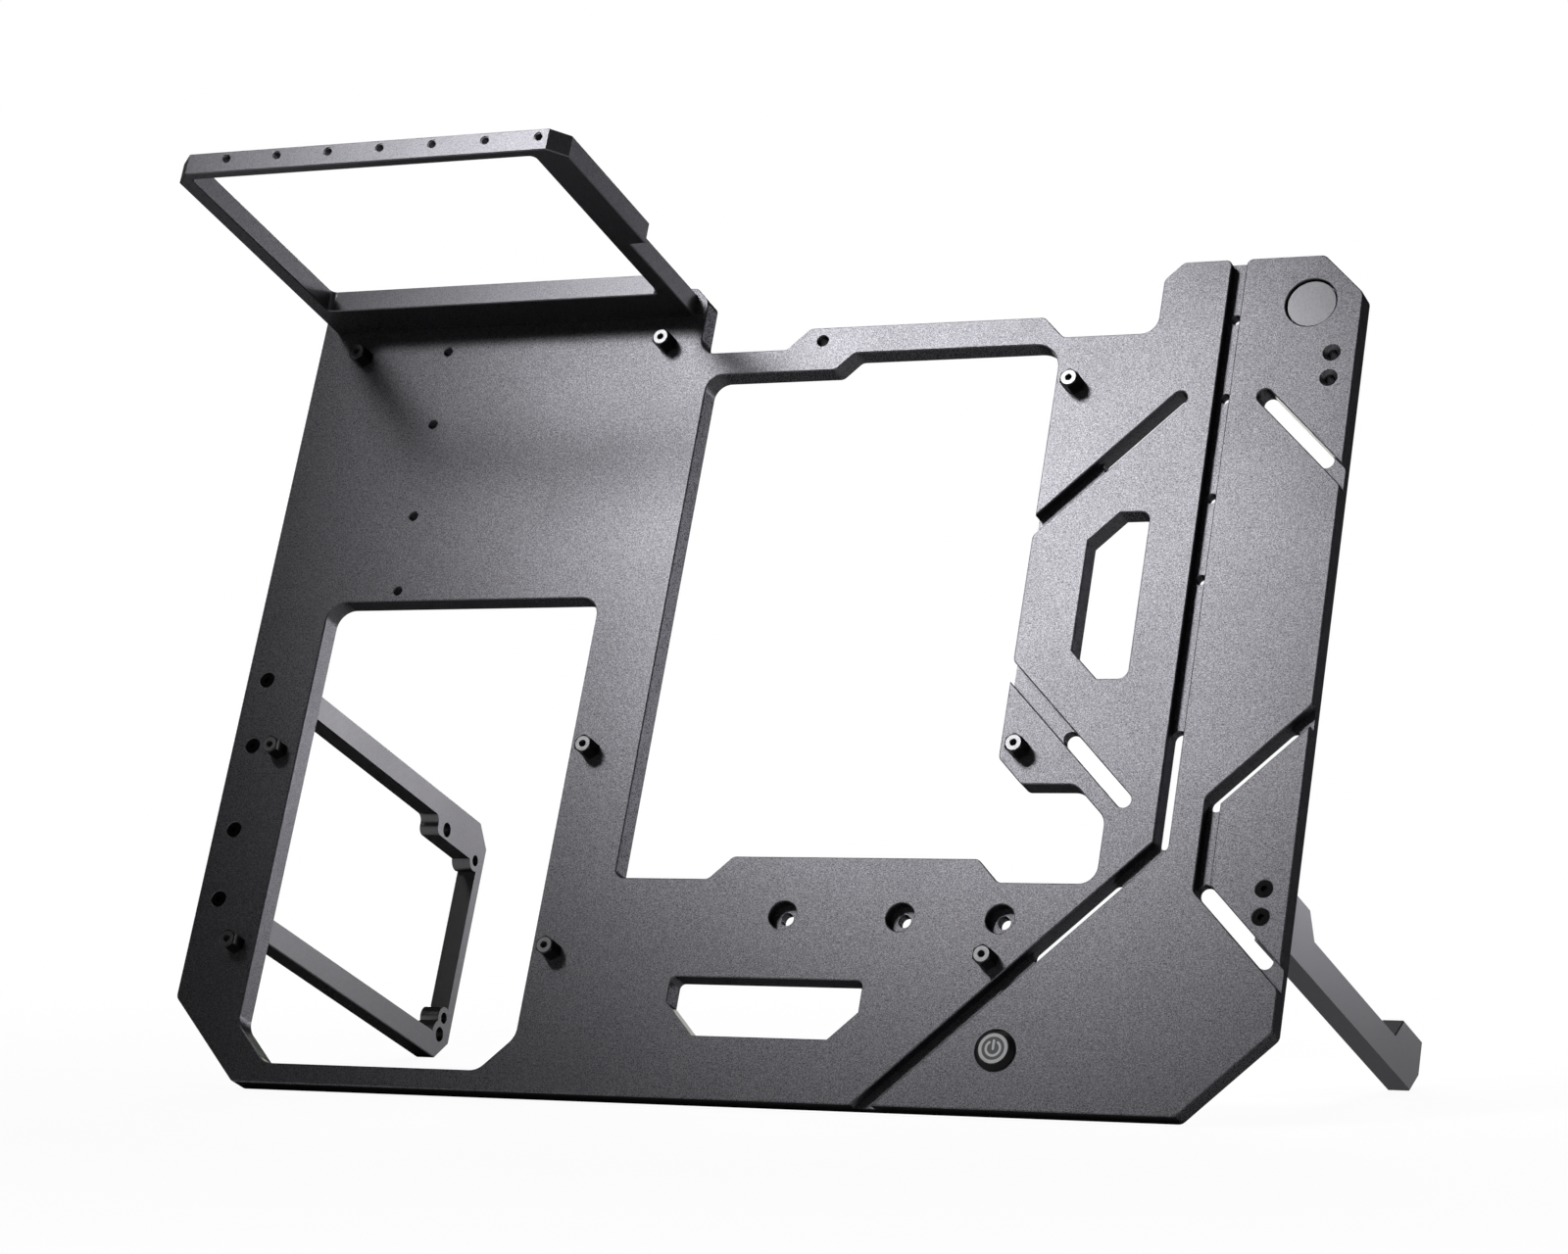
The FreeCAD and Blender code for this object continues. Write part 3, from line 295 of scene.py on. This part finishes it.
def satin_disc(settings):
    """Satin metal of the badge disc."""
    return mottled(
        "satin_disc",
        settings.badge,
        darkest=0.85,
        grain=0.12 * MILLIMETRE,
        detail=1.0,
        roughness=(0.24, 0.3),
        height=0.003 * MILLIMETRE,
        Metallic=1.0,
    )


def turned_black(settings):
    """Glossy black of the switch's turned metal parts."""
    return mottled(
        "turned_black",
        settings.bezel,
        darkest=0.7,
        grain=0.2 * MILLIMETRE,
        detail=2.0,
        roughness=(0.3, 0.4),
        height=0.003 * MILLIMETRE,
        Specular_IOR_Level=0.08,
    )


def cap_face(settings):
    """Dark satin face of the moving cap."""
    return mottled(
        "cap_face",
        settings.cap,
        darkest=0.75,
        grain=0.15 * MILLIMETRE,
        detail=2.0,
        roughness=(0.35, 0.5),
        height=0.004 * MILLIMETRE,
        Specular_IOR_Level=0.3,
    )


def light_lens(settings):
    """Milky plastic of the ring and the power symbol, unlit."""
    return mottled(
        "light_lens",
        settings.lens,
        darkest=0.88,
        grain=0.5 * MILLIMETRE,
        detail=2.0,
        roughness=(0.3, 0.4),
        height=0.004 * MILLIMETRE,
        Subsurface_Weight=0.15,
        Subsurface_Scale=0.3 * MILLIMETRE,
    )


def moulded_plastic(settings):
    """Fine textured black plastic of the switch's plug."""
    return mottled(
        "moulded_plastic",
        settings.plug,
        darkest=0.8,
        grain=0.25 * MILLIMETRE,
        detail=2.0,
        roughness=(0.5, 0.65),
        height=0.01 * MILLIMETRE,
    )


def tinned_brass(settings):
    """Tinned brass of the switch's terminals."""
    return mottled(
        "tinned_brass",
        settings.terminal,
        darkest=0.8,
        grain=0.6 * MILLIMETRE,
        detail=3.0,
        roughness=(0.25, 0.4),
        height=0.004 * MILLIMETRE,
        Metallic=1.0,
    )


def coat(names, material):
    """Gives CAD nodes a material in each of their slots."""
    for name in names:
        for slot in NODES[name].material_slots:
            slot.material = material


def named(prefix):
    """Names of the CAD nodes that start with a prefix."""
    names = sorted(name for name in NODES if name.startswith(prefix))
    if not names:
        raise RuntimeError(f"no node's name starts with {prefix}")
    return names


# helical threads


def thread_tree(name):
    """Geometry nodes that stand one helical ridge at every point of a mesh."""
    group = bpy.data.node_groups.new(name, "GeometryNodeTree")
    sockets = (
        ("Geometry", "INPUT", "NodeSocketGeometry"),
        ("Radius", "INPUT", "NodeSocketFloat"),
        ("Ridge", "INPUT", "NodeSocketFloat"),
        ("Pitch", "INPUT", "NodeSocketFloat"),
        ("Turns", "INPUT", "NodeSocketFloat"),
        ("Steps", "INPUT", "NodeSocketInt"),
        ("Rotation", "INPUT", "NodeSocketRotation"),
        ("Material", "INPUT", "NodeSocketMaterial"),
        ("Geometry", "OUTPUT", "NodeSocketGeometry"),
    )
    for label, way, kind in sockets:
        group.interface.new_socket(label, in_out=way, socket_type=kind)

    tree = Tree(group)
    given = tree.add("NodeGroupInput").outputs
    helix = tree.add("GeometryNodeCurveSpiral")
    tree.join(given["Steps"], helix.inputs["Resolution"])
    tree.join(given["Turns"], helix.inputs["Rotations"])
    tree.join(given["Radius"], helix.inputs["Start Radius"])
    tree.join(given["Radius"], helix.inputs["End Radius"])
    height = tree.math("MULTIPLY", given["Turns"], given["Pitch"])
    tree.join(height, helix.inputs["Height"])
    profile = tree.add("GeometryNodeCurvePrimitiveCircle")
    profile.inputs["Resolution"].default_value = RIDGE_CORNERS
    tree.join(given["Ridge"], profile.inputs["Radius"])
    ridge = tree.add("GeometryNodeCurveToMesh")
    ridge.inputs["Fill Caps"].default_value = True
    tree.join(helix.outputs["Curve"], ridge.inputs["Curve"])
    tree.join(profile.outputs["Curve"], ridge.inputs["Profile Curve"])
    copies = tree.add("GeometryNodeInstanceOnPoints")
    tree.join(given["Geometry"], copies.inputs["Points"])
    tree.join(ridge.outputs["Mesh"], copies.inputs["Instance"])
    tree.join(given["Rotation"], copies.inputs["Rotation"])
    solid = tree.add("GeometryNodeRealizeInstances")
    tree.join(copies.outputs["Instances"], solid.inputs["Geometry"])
    finish = tree.add("GeometryNodeSetMaterial")
    tree.join(solid.outputs["Geometry"], finish.inputs["Geometry"])
    tree.join(given["Material"], finish.inputs["Material"])
    result = tree.add("NodeGroupOutput")
    tree.join(finish.outputs["Geometry"], result.inputs["Geometry"])
    return group


def object_from(name, data):
    """A new object in the scene for a mesh, a lamp or a camera."""
    piece = bpy.data.objects.new(name, data)
    bpy.context.scene.collection.objects.link(piece)
    return piece


def thread_piece(name, starts, radius, ridge, pitch, turns, steps, material):
    """Helical threads that rise from each start along the plate's outward direction."""
    seed = bpy.data.meshes.new(f"{name}_starts")
    seed.from_pydata([tuple(start) for start in starts], [], [])
    maker = object_from(f"{name}_maker", seed)
    group = thread_tree(f"{name}_nodes")
    modifier = maker.modifiers.new("thread", "NODES")
    modifier.node_group = group
    values = {
        "Radius": radius,
        "Ridge": ridge,
        "Pitch": pitch,
        "Turns": turns,
        "Steps": steps,
        "Rotation": Vector((0, 0, 1)).rotation_difference(OUTWARD).to_euler(),
        "Material": material,
    }
    for item in group.interface.items_tree:
        if item.in_out == "INPUT" and item.name in values:
            modifier[item.identifier] = values[item.name]
    graph = bpy.context.evaluated_depsgraph_get()
    baked = bpy.data.meshes.new_from_object(maker.evaluated_get(graph), depsgraph=graph)
    if not baked.polygons:
        raise RuntimeError(f"{name} came out empty")
    maker.modifiers.remove(modifier)
    bpy.data.objects.remove(maker)
    piece = object_from(name, baked)
    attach(piece, BENCH_BODY)


def hole_threads(name, prefix, pitch, ridge, steps, material):
    """Threads in every stated hole whose name starts with a prefix."""
    mounts = [mount for key, mount in sorted(MOUNTS.items()) if key.startswith(prefix)]
    if not mounts:
        raise RuntimeError(f"no mount's name starts with {prefix}")
    size = mounts[0]["dims"]
    length = size["length_mm"] * MILLIMETRE
    turns = math.floor(length / pitch) - HOLE_PLAIN_TURNS
    half = turns * pitch / 2
    starts = [Vector(mount["pos_m"]) - OUTWARD * half for mount in mounts]
    radius = size["r_mm"] * MILLIMETRE
    thread_piece(name, starts, radius, ridge, pitch, turns, steps, material)


# settings


class FinishSettings(bpy.types.PropertyGroup):
    """Colours and textures of the metal pieces."""

    anodised: FloatVectorProperty(
        name="Anodised black",
        description="Base colour of the plate and the slot bracket",
        subtype="COLOR",
        default=(0.0631, 0.0621, 0.0675),
    )
    # painted shade: keeps the plate and the bracket dark at glancing angles
    glancing_shade_tint: FloatVectorProperty(
        name="Edge tint",
        description="How bright the plate and the bracket stay at glancing angles",
        subtype="COLOR",
        default=(0.105, 0.107, 0.09),
    )
    # painted light: makes the slot bracket a lighter copy of the plate's black, so that it reads as
    # lit
    bracket_painted_light_gain: FloatProperty(
        name="Bracket gain",
        description="How much lighter the slot bracket is than the plate",
        default=1.2,
        min=0.5,
        max=2.0,
    )
    # painted light: a lighter copy of the plate's black, which makes the frame and the leg read
    # brighter
    rear_lit_anodised: FloatVectorProperty(
        name="Rear anodised black",
        description="Base colour of the frame and the leg behind the plate",
        subtype="COLOR",
        default=(0.0737, 0.0726, 0.0758),
    )
    # painted shade: keeps the frame dark at glancing angles
    rear_glancing_shade_tint: FloatVectorProperty(
        name="Rear edge tint",
        description="How bright the frame stays at glancing angles",
        subtype="COLOR",
        default=(0.05, 0.05, 0.05),
    )
    # painted shade at glancing angles, lighter than on the plate, so that the leg's faces stay
    # brighter
    leg_glancing_shade_tint: FloatVectorProperty(
        name="Leg edge tint",
        description="How bright the leg stays at glancing angles",
        subtype="COLOR",
        default=(0.42, 0.42, 0.425),
    )
    metal_share: FloatProperty(
        name="Metal share",
        description="Share of the light that the plate and the bracket mirror as metal",
        default=0.8,
        min=0.0,
        max=1.0,
        subtype="FACTOR",
    )
    rear_metal_share: FloatProperty(
        name="Rear metal share",
        description="Share of the light that the frame and the leg mirror as metal",
        default=0.95,
        min=0.0,
        max=1.0,
        subtype="FACTOR",
    )
    grain_contrast: FloatProperty(
        name="Grain contrast",
        description="How far the blasted grain lightens and darkens the plate",
        default=0.62,
        min=0.0,
        max=1.0,
        subtype="FACTOR",
    )
    roughness: FloatProperty(
        name="Roughness",
        description="Roughness of the blasted surface",
        default=0.36,
        min=0.0,
        max=1.0,
        subtype="FACTOR",
    )
    roughness_spread: FloatProperty(
        name="Roughness spread",
        description="How far the roughness wanders to each side",
        default=0.015,
        min=0.0,
        max=0.2,
        subtype="FACTOR",
    )
    grain: FloatProperty(
        name="Grain",
        description="Size of the blasted dimples",
        default=0.36 * MILLIMETRE,
        min=0.01 * MILLIMETRE,
        unit="LENGTH",
    )
    grain_height: FloatProperty(
        name="Grain height",
        description="Depth of the blasted dimples",
        default=0.0015 * MILLIMETRE,
        min=0.0,
        unit="LENGTH",
    )
    cloud: FloatProperty(
        name="Cloud",
        description="Size of the faint clouds in the anodising",
        default=40 * MILLIMETRE,
        min=MILLIMETRE,
        unit="LENGTH",
    )
    nickel: FloatVectorProperty(
        name="Black nickel",
        description="Sides of the standoffs",
        subtype="COLOR",
        default=(0.02, 0.02, 0.0215),
    )
    # painted highlight: the lighter colour of the standoffs' tops, which face outward
    painted_top_highlight: FloatVectorProperty(
        name="Bright land",
        description="Faced tops of the standoffs",
        subtype="COLOR",
        default=(0.085, 0.085, 0.088),
    )
    # partly painted shade: the screws' own black oxide, made near black to stand for the shade in
    # their recesses
    oxide_and_recess_shade: FloatVectorProperty(
        name="Black oxide",
        description="Socket screws",
        subtype="COLOR",
        default=(0.003, 0.003, 0.003),
    )
    badge: FloatVectorProperty(
        name="Badge",
        description="The bare badge disc",
        subtype="COLOR",
        default=(0.055, 0.055, 0.058),
    )


class SwitchSettings(bpy.types.PropertyGroup):
    """Colours and sizes of the push button."""

    bezel: FloatVectorProperty(
        name="Bezel",
        description="Bezel, barrel and nut",
        subtype="COLOR",
        default=(0.006, 0.006, 0.007),
    )
    cap: FloatVectorProperty(
        name="Cap",
        description="Face of the moving cap",
        subtype="COLOR",
        default=(0.05, 0.05, 0.053),
    )
    lens: FloatVectorProperty(
        name="Lens",
        description="Ring and power symbol",
        subtype="COLOR",
        default=(0.32, 0.32, 0.325),
    )
    plug: FloatVectorProperty(
        name="Plug",
        description="Plastic plug of the barrel",
        subtype="COLOR",
        default=(0.02, 0.02, 0.02),
    )
    terminal: FloatVectorProperty(
        name="Terminals",
        description="Tinned terminals",
        subtype="COLOR",
        default=(0.62, 0.58, 0.5),
    )
    symbol_radius: FloatProperty(
        name="Symbol radius",
        description="Middle radius of the symbol's open ring",
        default=2.4 * MILLIMETRE,
        min=MILLIMETRE,
        unit="LENGTH",
    )
    symbol_line: FloatProperty(
        name="Symbol line",
        description="Width of the symbol's lines",
        default=0.8 * MILLIMETRE,
        min=0.1 * MILLIMETRE,
        unit="LENGTH",
    )
    symbol_rise: FloatProperty(
        name="Symbol rise",
        description="How far the symbol stands out of the cap",
        default=0.04 * MILLIMETRE,
        min=0.0,
        unit="LENGTH",
    )
    thread_pitch: FloatProperty(
        name="Barrel thread",
        description="Pitch of the barrel's thread",
        default=MILLIMETRE,
        min=0.2 * MILLIMETRE,
        unit="LENGTH",
    )


class ThreadSettings(bpy.types.PropertyGroup):
    """Pitches of the tapped holes."""

    standoff_pitch: FloatProperty(
        name="Standoff pitch",
        description="Thread pitch in the standoffs",
        default=0.5 * MILLIMETRE,
        min=0.1 * MILLIMETRE,
        unit="LENGTH",
    )
    card_pitch: FloatProperty(
        name="Card screw pitch",
        description="Thread pitch in the slot bracket",
        default=0.79 * MILLIMETRE,
        min=0.1 * MILLIMETRE,
        unit="LENGTH",
    )
    accessory_pitch: FloatProperty(
        name="Accessory pitch",
        description="Thread pitch of the accessory holes",
        default=0.7 * MILLIMETRE,
        min=0.1 * MILLIMETRE,
        unit="LENGTH",
    )
    steps: IntProperty(
        name="Steps",
        description="Flats in one turn of a hole's thread, half of those of the barrel's",
        default=20,
        min=8,
        max=64,
    )


class StudioSettings(bpy.types.PropertyGroup):
    """Camera, lamps and background."""

    camera_place: FloatVectorProperty(
        name="Camera place",
        description="Where the camera stands",
        subtype="TRANSLATION",
        default=(0.62016, -1.33491, 0.11172),
    )
    camera_turn: FloatVectorProperty(
        name="Camera turn",
        description="Tilt, roll and heading of the camera",
        subtype="EULER",
        default=(math.radians(91.834), math.radians(0.0), math.radians(25.258)),
    )
    lens: FloatProperty(
        name="Lens",
        description="Focal length of the camera",
        default=97.333,
        min=1.0,
        unit="CAMERA",
    )
    key_place: FloatVectorProperty(
        name="Key place",
        description="Where the key lamp stands",
        subtype="TRANSLATION",
        default=(-0.349, -0.646, 0.923),
    )
    key_power: FloatProperty(
        name="Key lamp",
        description="Power of the key lamp",
        default=0.43,
        min=0.0,
        unit="POWER",
    )
    key_size: FloatProperty(
        name="Key size",
        description="Width of the key lamp",
        default=0.36,
        min=0.01,
        unit="LENGTH",
    )
    key_spread: FloatProperty(
        name="Key spread",
        description="Angle to which the key lamp's grid narrows its light",
        default=math.radians(30),
        min=math.radians(1),
        max=math.pi,
        subtype="ANGLE",
    )
    side_power: FloatProperty(
        name="Side lamp",
        description="Power of the lamp at the right behind the bench",
        default=19.0,
        min=0.0,
        unit="POWER",
    )
    top_power: FloatProperty(
        name="Top lamp",
        description="Power of the lamp over the bench",
        default=18.0,
        min=0.0,
        unit="POWER",
    )
    rear_power: FloatProperty(
        name="Rear lamp",
        description="Power of the lamp at the left behind the bench",
        default=60.0,
        min=0.0,
        unit="POWER",
    )
    wall_top: FloatProperty(
        name="Wall top",
        description="Height of the white walls as the sine of their angle over the floor",
        default=0.27,
        min=0.0,
        max=1.0,
        subtype="FACTOR",
    )
    ceiling: FloatProperty(
        name="Ceiling",
        description="Brightness of the dark ceiling",
        default=0.02,
        min=0.0,
        max=1.0,
        subtype="FACTOR",
    )
    room_light: FloatProperty(
        name="Room light",
        description="Strength of the soft light from all round",
        default=0.1,
        min=0.0,
    )
    floor: FloatVectorProperty(
        name="Floor",
        description="Colour of the pale floor",
        subtype="COLOR",
        default=(0.86, 0.86, 0.86),
    )
    floor_glow: FloatProperty(
        name="Floor glow",
        description="Share of the floor that shows as plain background",
        default=0.94,
        min=0.0,
        max=1.0,
        subtype="FACTOR",
    )


# pieces


class TESTBENCH_OT_plates(bpy.types.Operator):
    """Finish the plate, the slot bracket, the power supply frame and the leg"""

    bl_idname = "testbench.plates"
    bl_label = "Anodised Plates"

    def execute(self, context):
        finish = context.scene.bench_finish
        plain = finish.anodised
        # painted light: the bracket's lighter copy of the plate's black
        lighter = Vector(plain) * finish.bracket_painted_light_gain
        # painted light: the frame's and the leg's lighter copy of the plate's black
        rear = finish.rear_lit_anodised
        front_metal = finish.metal_share
        rear_metal = finish.rear_metal_share
        # the edge tints in this table are painted shade at glancing angles
        finishes = (
            ("main_plate", "blasted_black_anodised", plain, finish.glancing_shade_tint, 1.0, front_metal),
            ("slot_bracket", "bracket_lit_black_anodised", lighter, finish.glancing_shade_tint, 0.5, front_metal),
            ("supply_frame", "rear_lit_black_anodised", rear, finish.rear_glancing_shade_tint, 0.25, rear_metal),
            ("side_leg", "leg_lit_black_anodised", rear, finish.leg_glancing_shade_tint, 0.25, rear_metal),
        )
        for node, name, tone, glancing_shade, share, metal in finishes:
            contrast = finish.grain_contrast * share
            coat([node], anodised(name, tone, glancing_shade, contrast, metal, finish))
        return {"FINISHED"}


class TESTBENCH_OT_standoffs(bpy.types.Operator):
    """Finish the board standoffs and thread their bores"""

    bl_idname = "testbench.standoffs"
    bl_label = "Standoffs"

    def execute(self, context):
        material = black_nickel(context.scene.bench_finish)
        coat(named("standoff_"), material)
        threads = context.scene.bench_threads
        hole_threads(
            "standoff_threads",
            "board_standoff",
            threads.standoff_pitch,
            STANDOFF_RIDGE,
            threads.steps,
            material,
        )
        return {"FINISHED"}


class TESTBENCH_OT_tapped_holes(bpy.types.Operator):
    """Thread the card screw holes and the accessory holes"""

    bl_idname = "testbench.tapped_holes"
    bl_label = "Tapped Holes"

    def execute(self, context):
        threads = context.scene.bench_threads
        material = NODES["main_plate"].material_slots[0].material
        groups = (
            ("card_threads", "card_screw", threads.card_pitch),
            ("left_accessory_threads", "accessory_left", threads.accessory_pitch),
            ("groove_accessory_threads", "accessory_groove", threads.accessory_pitch),
        )
        for name, prefix, pitch in groups:
            hole_threads(
                name, prefix, pitch, TAPPED_RIDGE, threads.steps, material
            )
        return {"FINISHED"}


class TESTBENCH_OT_screws(bpy.types.Operator):
    """Finish the socket screws"""

    bl_idname = "testbench.screws"
    bl_label = "Socket Screws"

    def execute(self, context):
        screws = named("bracket_screw_") + named("frame_screw_") + named("leg_screw_")
        coat(screws, black_oxide_and_shade(context.scene.bench_finish))
        return {"FINISHED"}


class TESTBENCH_OT_badge(bpy.types.Operator):
    """Finish the bare badge disc"""

    bl_idname = "testbench.badge"
    bl_label = "Badge Disc"

    def execute(self, context):
        coat(["badge_disc"], satin_disc(context.scene.bench_finish))
        return {"FINISHED"}


def node_centre(name):
    """Middle of a node's box."""
    low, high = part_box(name)
    return (Vector(low) + Vector(high)) / 2


def arc_points(centre, radius, start, end, steps=8):
    """Evenly spaced points on a flat arc, as pairs."""
    x, y = centre
    angles = [start + (end - start) * step / steps for step in range(steps + 1)]
    return [(x + radius * math.cos(a), y + radius * math.sin(a)) for a in angles]


def symbol_outline(radius, line):
    """The power symbol as closed loops on a flat face: an open ring and a short bar."""
    half = line / 2
    half_gap = math.radians(36)
    start = math.pi / 2 + half_gap
    end = start + 2 * math.pi - 2 * half_gap
    steps = 36

    def round_end(angle, heading):
        """Half circle round one end of the ring's line, without its two end points."""
        centre = (radius * math.cos(angle), radius * math.sin(angle))
        return arc_points(centre, half, heading, heading + math.pi)[1:-1]

    ring = arc_points((0, 0), radius + half, start, end, steps)
    ring += round_end(end, end)
    ring += arc_points((0, 0), radius - half, end, start, steps)
    ring += round_end(start, start + math.pi)

    top = radius * 1.05
    foot = -radius * 0.08
    bar = arc_points((0, top), half, 0, math.pi)
    bar += arc_points((0, foot), half, math.pi, 2 * math.pi)
    return [ring, bar]


def inlay(name, loops, centre, rise, material):
    """Flat raised shapes on a face that points outward."""
    shape = bmesh.new()
    for loop in loops:
        flat = [centre + ALONG * x + UPWARD * y for x, y in loop]
        low = [shape.verts.new(point) for point in flat]
        high = [shape.verts.new(point + OUTWARD * rise) for point in flat]
        shape.faces.new(high)
        shape.faces.new(list(reversed(low)))
        for i in range(len(loop)):
            j = (i + 1) % len(loop)
            shape.faces.new((low[i], low[j], high[j], high[i]))
    bmesh.ops.recalc_face_normals(shape, faces=shape.faces)
    mesh = bpy.data.meshes.new(name)
    shape.to_mesh(mesh)
    shape.free()
    mesh.materials.append(material)
    return object_from(name, mesh)


class TESTBENCH_OT_switch(bpy.types.Operator):
    """Finish the push button, thread its barrel and lay the symbol in its cap"""

    bl_idname = "testbench.switch"
    bl_label = "Push Button"

    def execute(self, context):
        settings = context.scene.bench_switch
        black = turned_black(settings)
        lens = light_lens(settings)
        coat(["switch_body", "switch_nut"], black)
        coat(["switch_cap"], cap_face(settings))
        coat(["switch_ring"], lens)
        coat(["switch_base"], moulded_plastic(settings))
        coat(named("switch_terminal_"), tinned_brass(settings))

        face = node_centre("switch_ring") + OUTWARD * (RING_DEPTH / 2)
        loops = symbol_outline(settings.symbol_radius, settings.symbol_line)
        symbol = inlay("power_symbol", loops, face, settings.symbol_rise, lens)
        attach(symbol, BUTTON_BODY)

        nut = node_centre("switch_nut")
        length = (nut - node_centre("switch_base")).dot(OUTWARD)
        pitch = settings.thread_pitch
        turns = math.floor(length / pitch) - BARREL_PLAIN_TURNS
        start = nut - OUTWARD * (turns * pitch + NUT_TO_THREAD)
        thread_piece(
            "barrel_thread",
            [start],
            BARREL_RADIUS,
            BARREL_RIDGE,
            pitch,
            turns,
            context.scene.bench_threads.steps * 2,
            black,
        )
        return {"FINISHED"}


# studio


def floor_material(settings):
    """A pale floor that shows as background and keeps soft shadows near the bench."""
    material = bpy.data.materials.new("pale_floor")
    material.use_nodes = True
    tree = Tree(material.node_tree)
    pale = tree.add("ShaderNodeBsdfDiffuse")
    pale.inputs["Color"].default_value = colour(settings.floor)
    glow = tree.add("ShaderNodeEmission")
    glow.inputs["Color"].default_value = (1, 1, 1, 1)
    reach = tree.add("ShaderNodeVectorMath", operation="LENGTH")
    tree.join(tree.add("ShaderNodeTexCoord").outputs["Object"], reach.inputs[0])
    share = tree.spread(reach.outputs["Value"], settings.floor_glow, 1.0, FLOOR_NEAR, FLOOR_FAR)
    shown = tree.mix(share, pale.outputs["BSDF"], glow.outputs["Emission"])
    seen = tree.white_where_seen(pale.outputs["BSDF"], shown)
    tree.join(seen, tree.add("ShaderNodeOutputMaterial").inputs["Surface"])
    return material


def set_world(settings):
    """A dim room whose walls show white up to above the camera, under a dark ceiling."""
    world = bpy.data.worlds.new("studio")
    world.use_nodes = True
    tree = Tree(world.node_tree)
    room = tree.add("ShaderNodeBackground")
    room.inputs["Strength"].default_value = settings.room_light
    way = tree.add("ShaderNodeSeparateXYZ")
    tree.join(tree.add("ShaderNodeTexCoord").outputs["Generated"], way.inputs["Vector"])
    top = settings.wall_top
    height = tree.spread(way.outputs["Z"], 1.0, settings.ceiling, top, top + WALL_FADE)
    white = tree.add("ShaderNodeBackground")
    tree.join(height, white.inputs["Color"])
    seen = tree.white_where_seen(room.outputs["Background"], white.outputs["Background"])
    tree.join(seen, tree.add("ShaderNodeOutputWorld").inputs["Surface"])
    bpy.context.scene.world = world


def lamp(name, place, target, size, power, spread=math.pi):
    """A round or oval area lamp that looks at a target."""
    data = bpy.data.lights.new(name, "AREA")
    data.shape = "ELLIPSE"
    data.size, data.size_y = size
    data.spread = spread
    data.energy = power
    thing = object_from(name, data)
    thing.visible_camera = False
    thing.location = place
    thing.rotation_euler = (target - place).to_track_quat("-Z", "Y").to_euler()


class TESTBENCH_OT_studio(bpy.types.Operator):
    """Set up the floor, the lamps and the camera"""

    bl_idname = "testbench.studio"
    bl_label = "Studio"

    def execute(self, context):
        scene = context.scene
        settings = scene.bench_studio
        scene.view_settings.view_transform = "Standard"

        floor = bpy.data.meshes.new("floor")
        half = FLOOR_SIZE / 2
        corners = [(-half, -half, 0), (half, -half, 0), (half, half, 0), (-half, half, 0)]
        floor.from_pydata(corners, [], [(0, 1, 2, 3)])
        floor.materials.append(floor_material(settings))
        object_from("floor", floor)

        set_world(settings)
        key_place = Vector(settings.key_place)
        key_size = (settings.key_size, settings.key_size)
        power = settings.key_power
        lamp("key_lamp", key_place, BENCH_TARGET, key_size, power, settings.key_spread)
        lamp("side_lamp", SIDE_PLACE, SIDE_TARGET, SIDE_SIZE, settings.side_power)
        lamp("rear_lamp", REAR_PLACE, BENCH_TARGET, REAR_SIZE, settings.rear_power)
        lamp("top_lamp", TOP_PLACE, TOP_TARGET, TOP_SIZE, settings.top_power)

        view = bpy.data.cameras.new("photo_camera")
        view.lens = settings.lens
        view.sensor_width = SENSOR_WIDTH
        view.clip_start = CLIP_START
        camera = object_from("photo_camera", view)
        camera.location = settings.camera_place
        camera.rotation_euler = settings.camera_turn
        scene.camera = camera
        return {"FINISHED"}


OPERATORS = (
    TESTBENCH_OT_studio,
    TESTBENCH_OT_plates,
    TESTBENCH_OT_standoffs,
    TESTBENCH_OT_tapped_holes,
    TESTBENCH_OT_screws,
    TESTBENCH_OT_badge,
    TESTBENCH_OT_switch,
)

SETTINGS = {
    "bench_finish": FinishSettings,
    "bench_switch": SwitchSettings,
    "bench_threads": ThreadSettings,
    "bench_studio": StudioSettings,
}


class TESTBENCH_PT_panel(bpy.types.Panel):
    """The test bench's settings and pieces"""

    bl_idname = "TESTBENCH_PT_panel"
    bl_label = "Test Bench"
    bl_space_type = "VIEW_3D"
    bl_region_type = "UI"
    bl_category = "Test Bench"

    def draw(self, context):
        layout = self.layout
        for operator in OPERATORS:
            layout.operator(operator.bl_idname)
        for name in SETTINGS:
            group = getattr(context.scene, name)
            box = layout.box()
            for key in group.bl_rna.properties.keys():
                if key not in ("rna_type", "name"):
                    box.prop(group, key)


CLASSES = (*SETTINGS.values(), *OPERATORS, TESTBENCH_PT_panel)


def register():
    for item in CLASSES:
        bpy.utils.register_class(item)
    for name, group in SETTINGS.items():
        setattr(bpy.types.Scene, name, PointerProperty(type=group))


def unregister():
    for name in SETTINGS:
        delattr(bpy.types.Scene, name)
    for item in reversed(CLASSES):
        bpy.utils.unregister_class(item)


def main():
    register()
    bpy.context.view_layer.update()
    bpy.ops.testbench.studio()
    bpy.ops.testbench.plates()
    bpy.ops.testbench.standoffs()
    bpy.ops.testbench.tapped_holes()
    bpy.ops.testbench.screws()
    bpy.ops.testbench.badge()
    bpy.ops.testbench.switch()


if __name__ == "__main__":
    main()
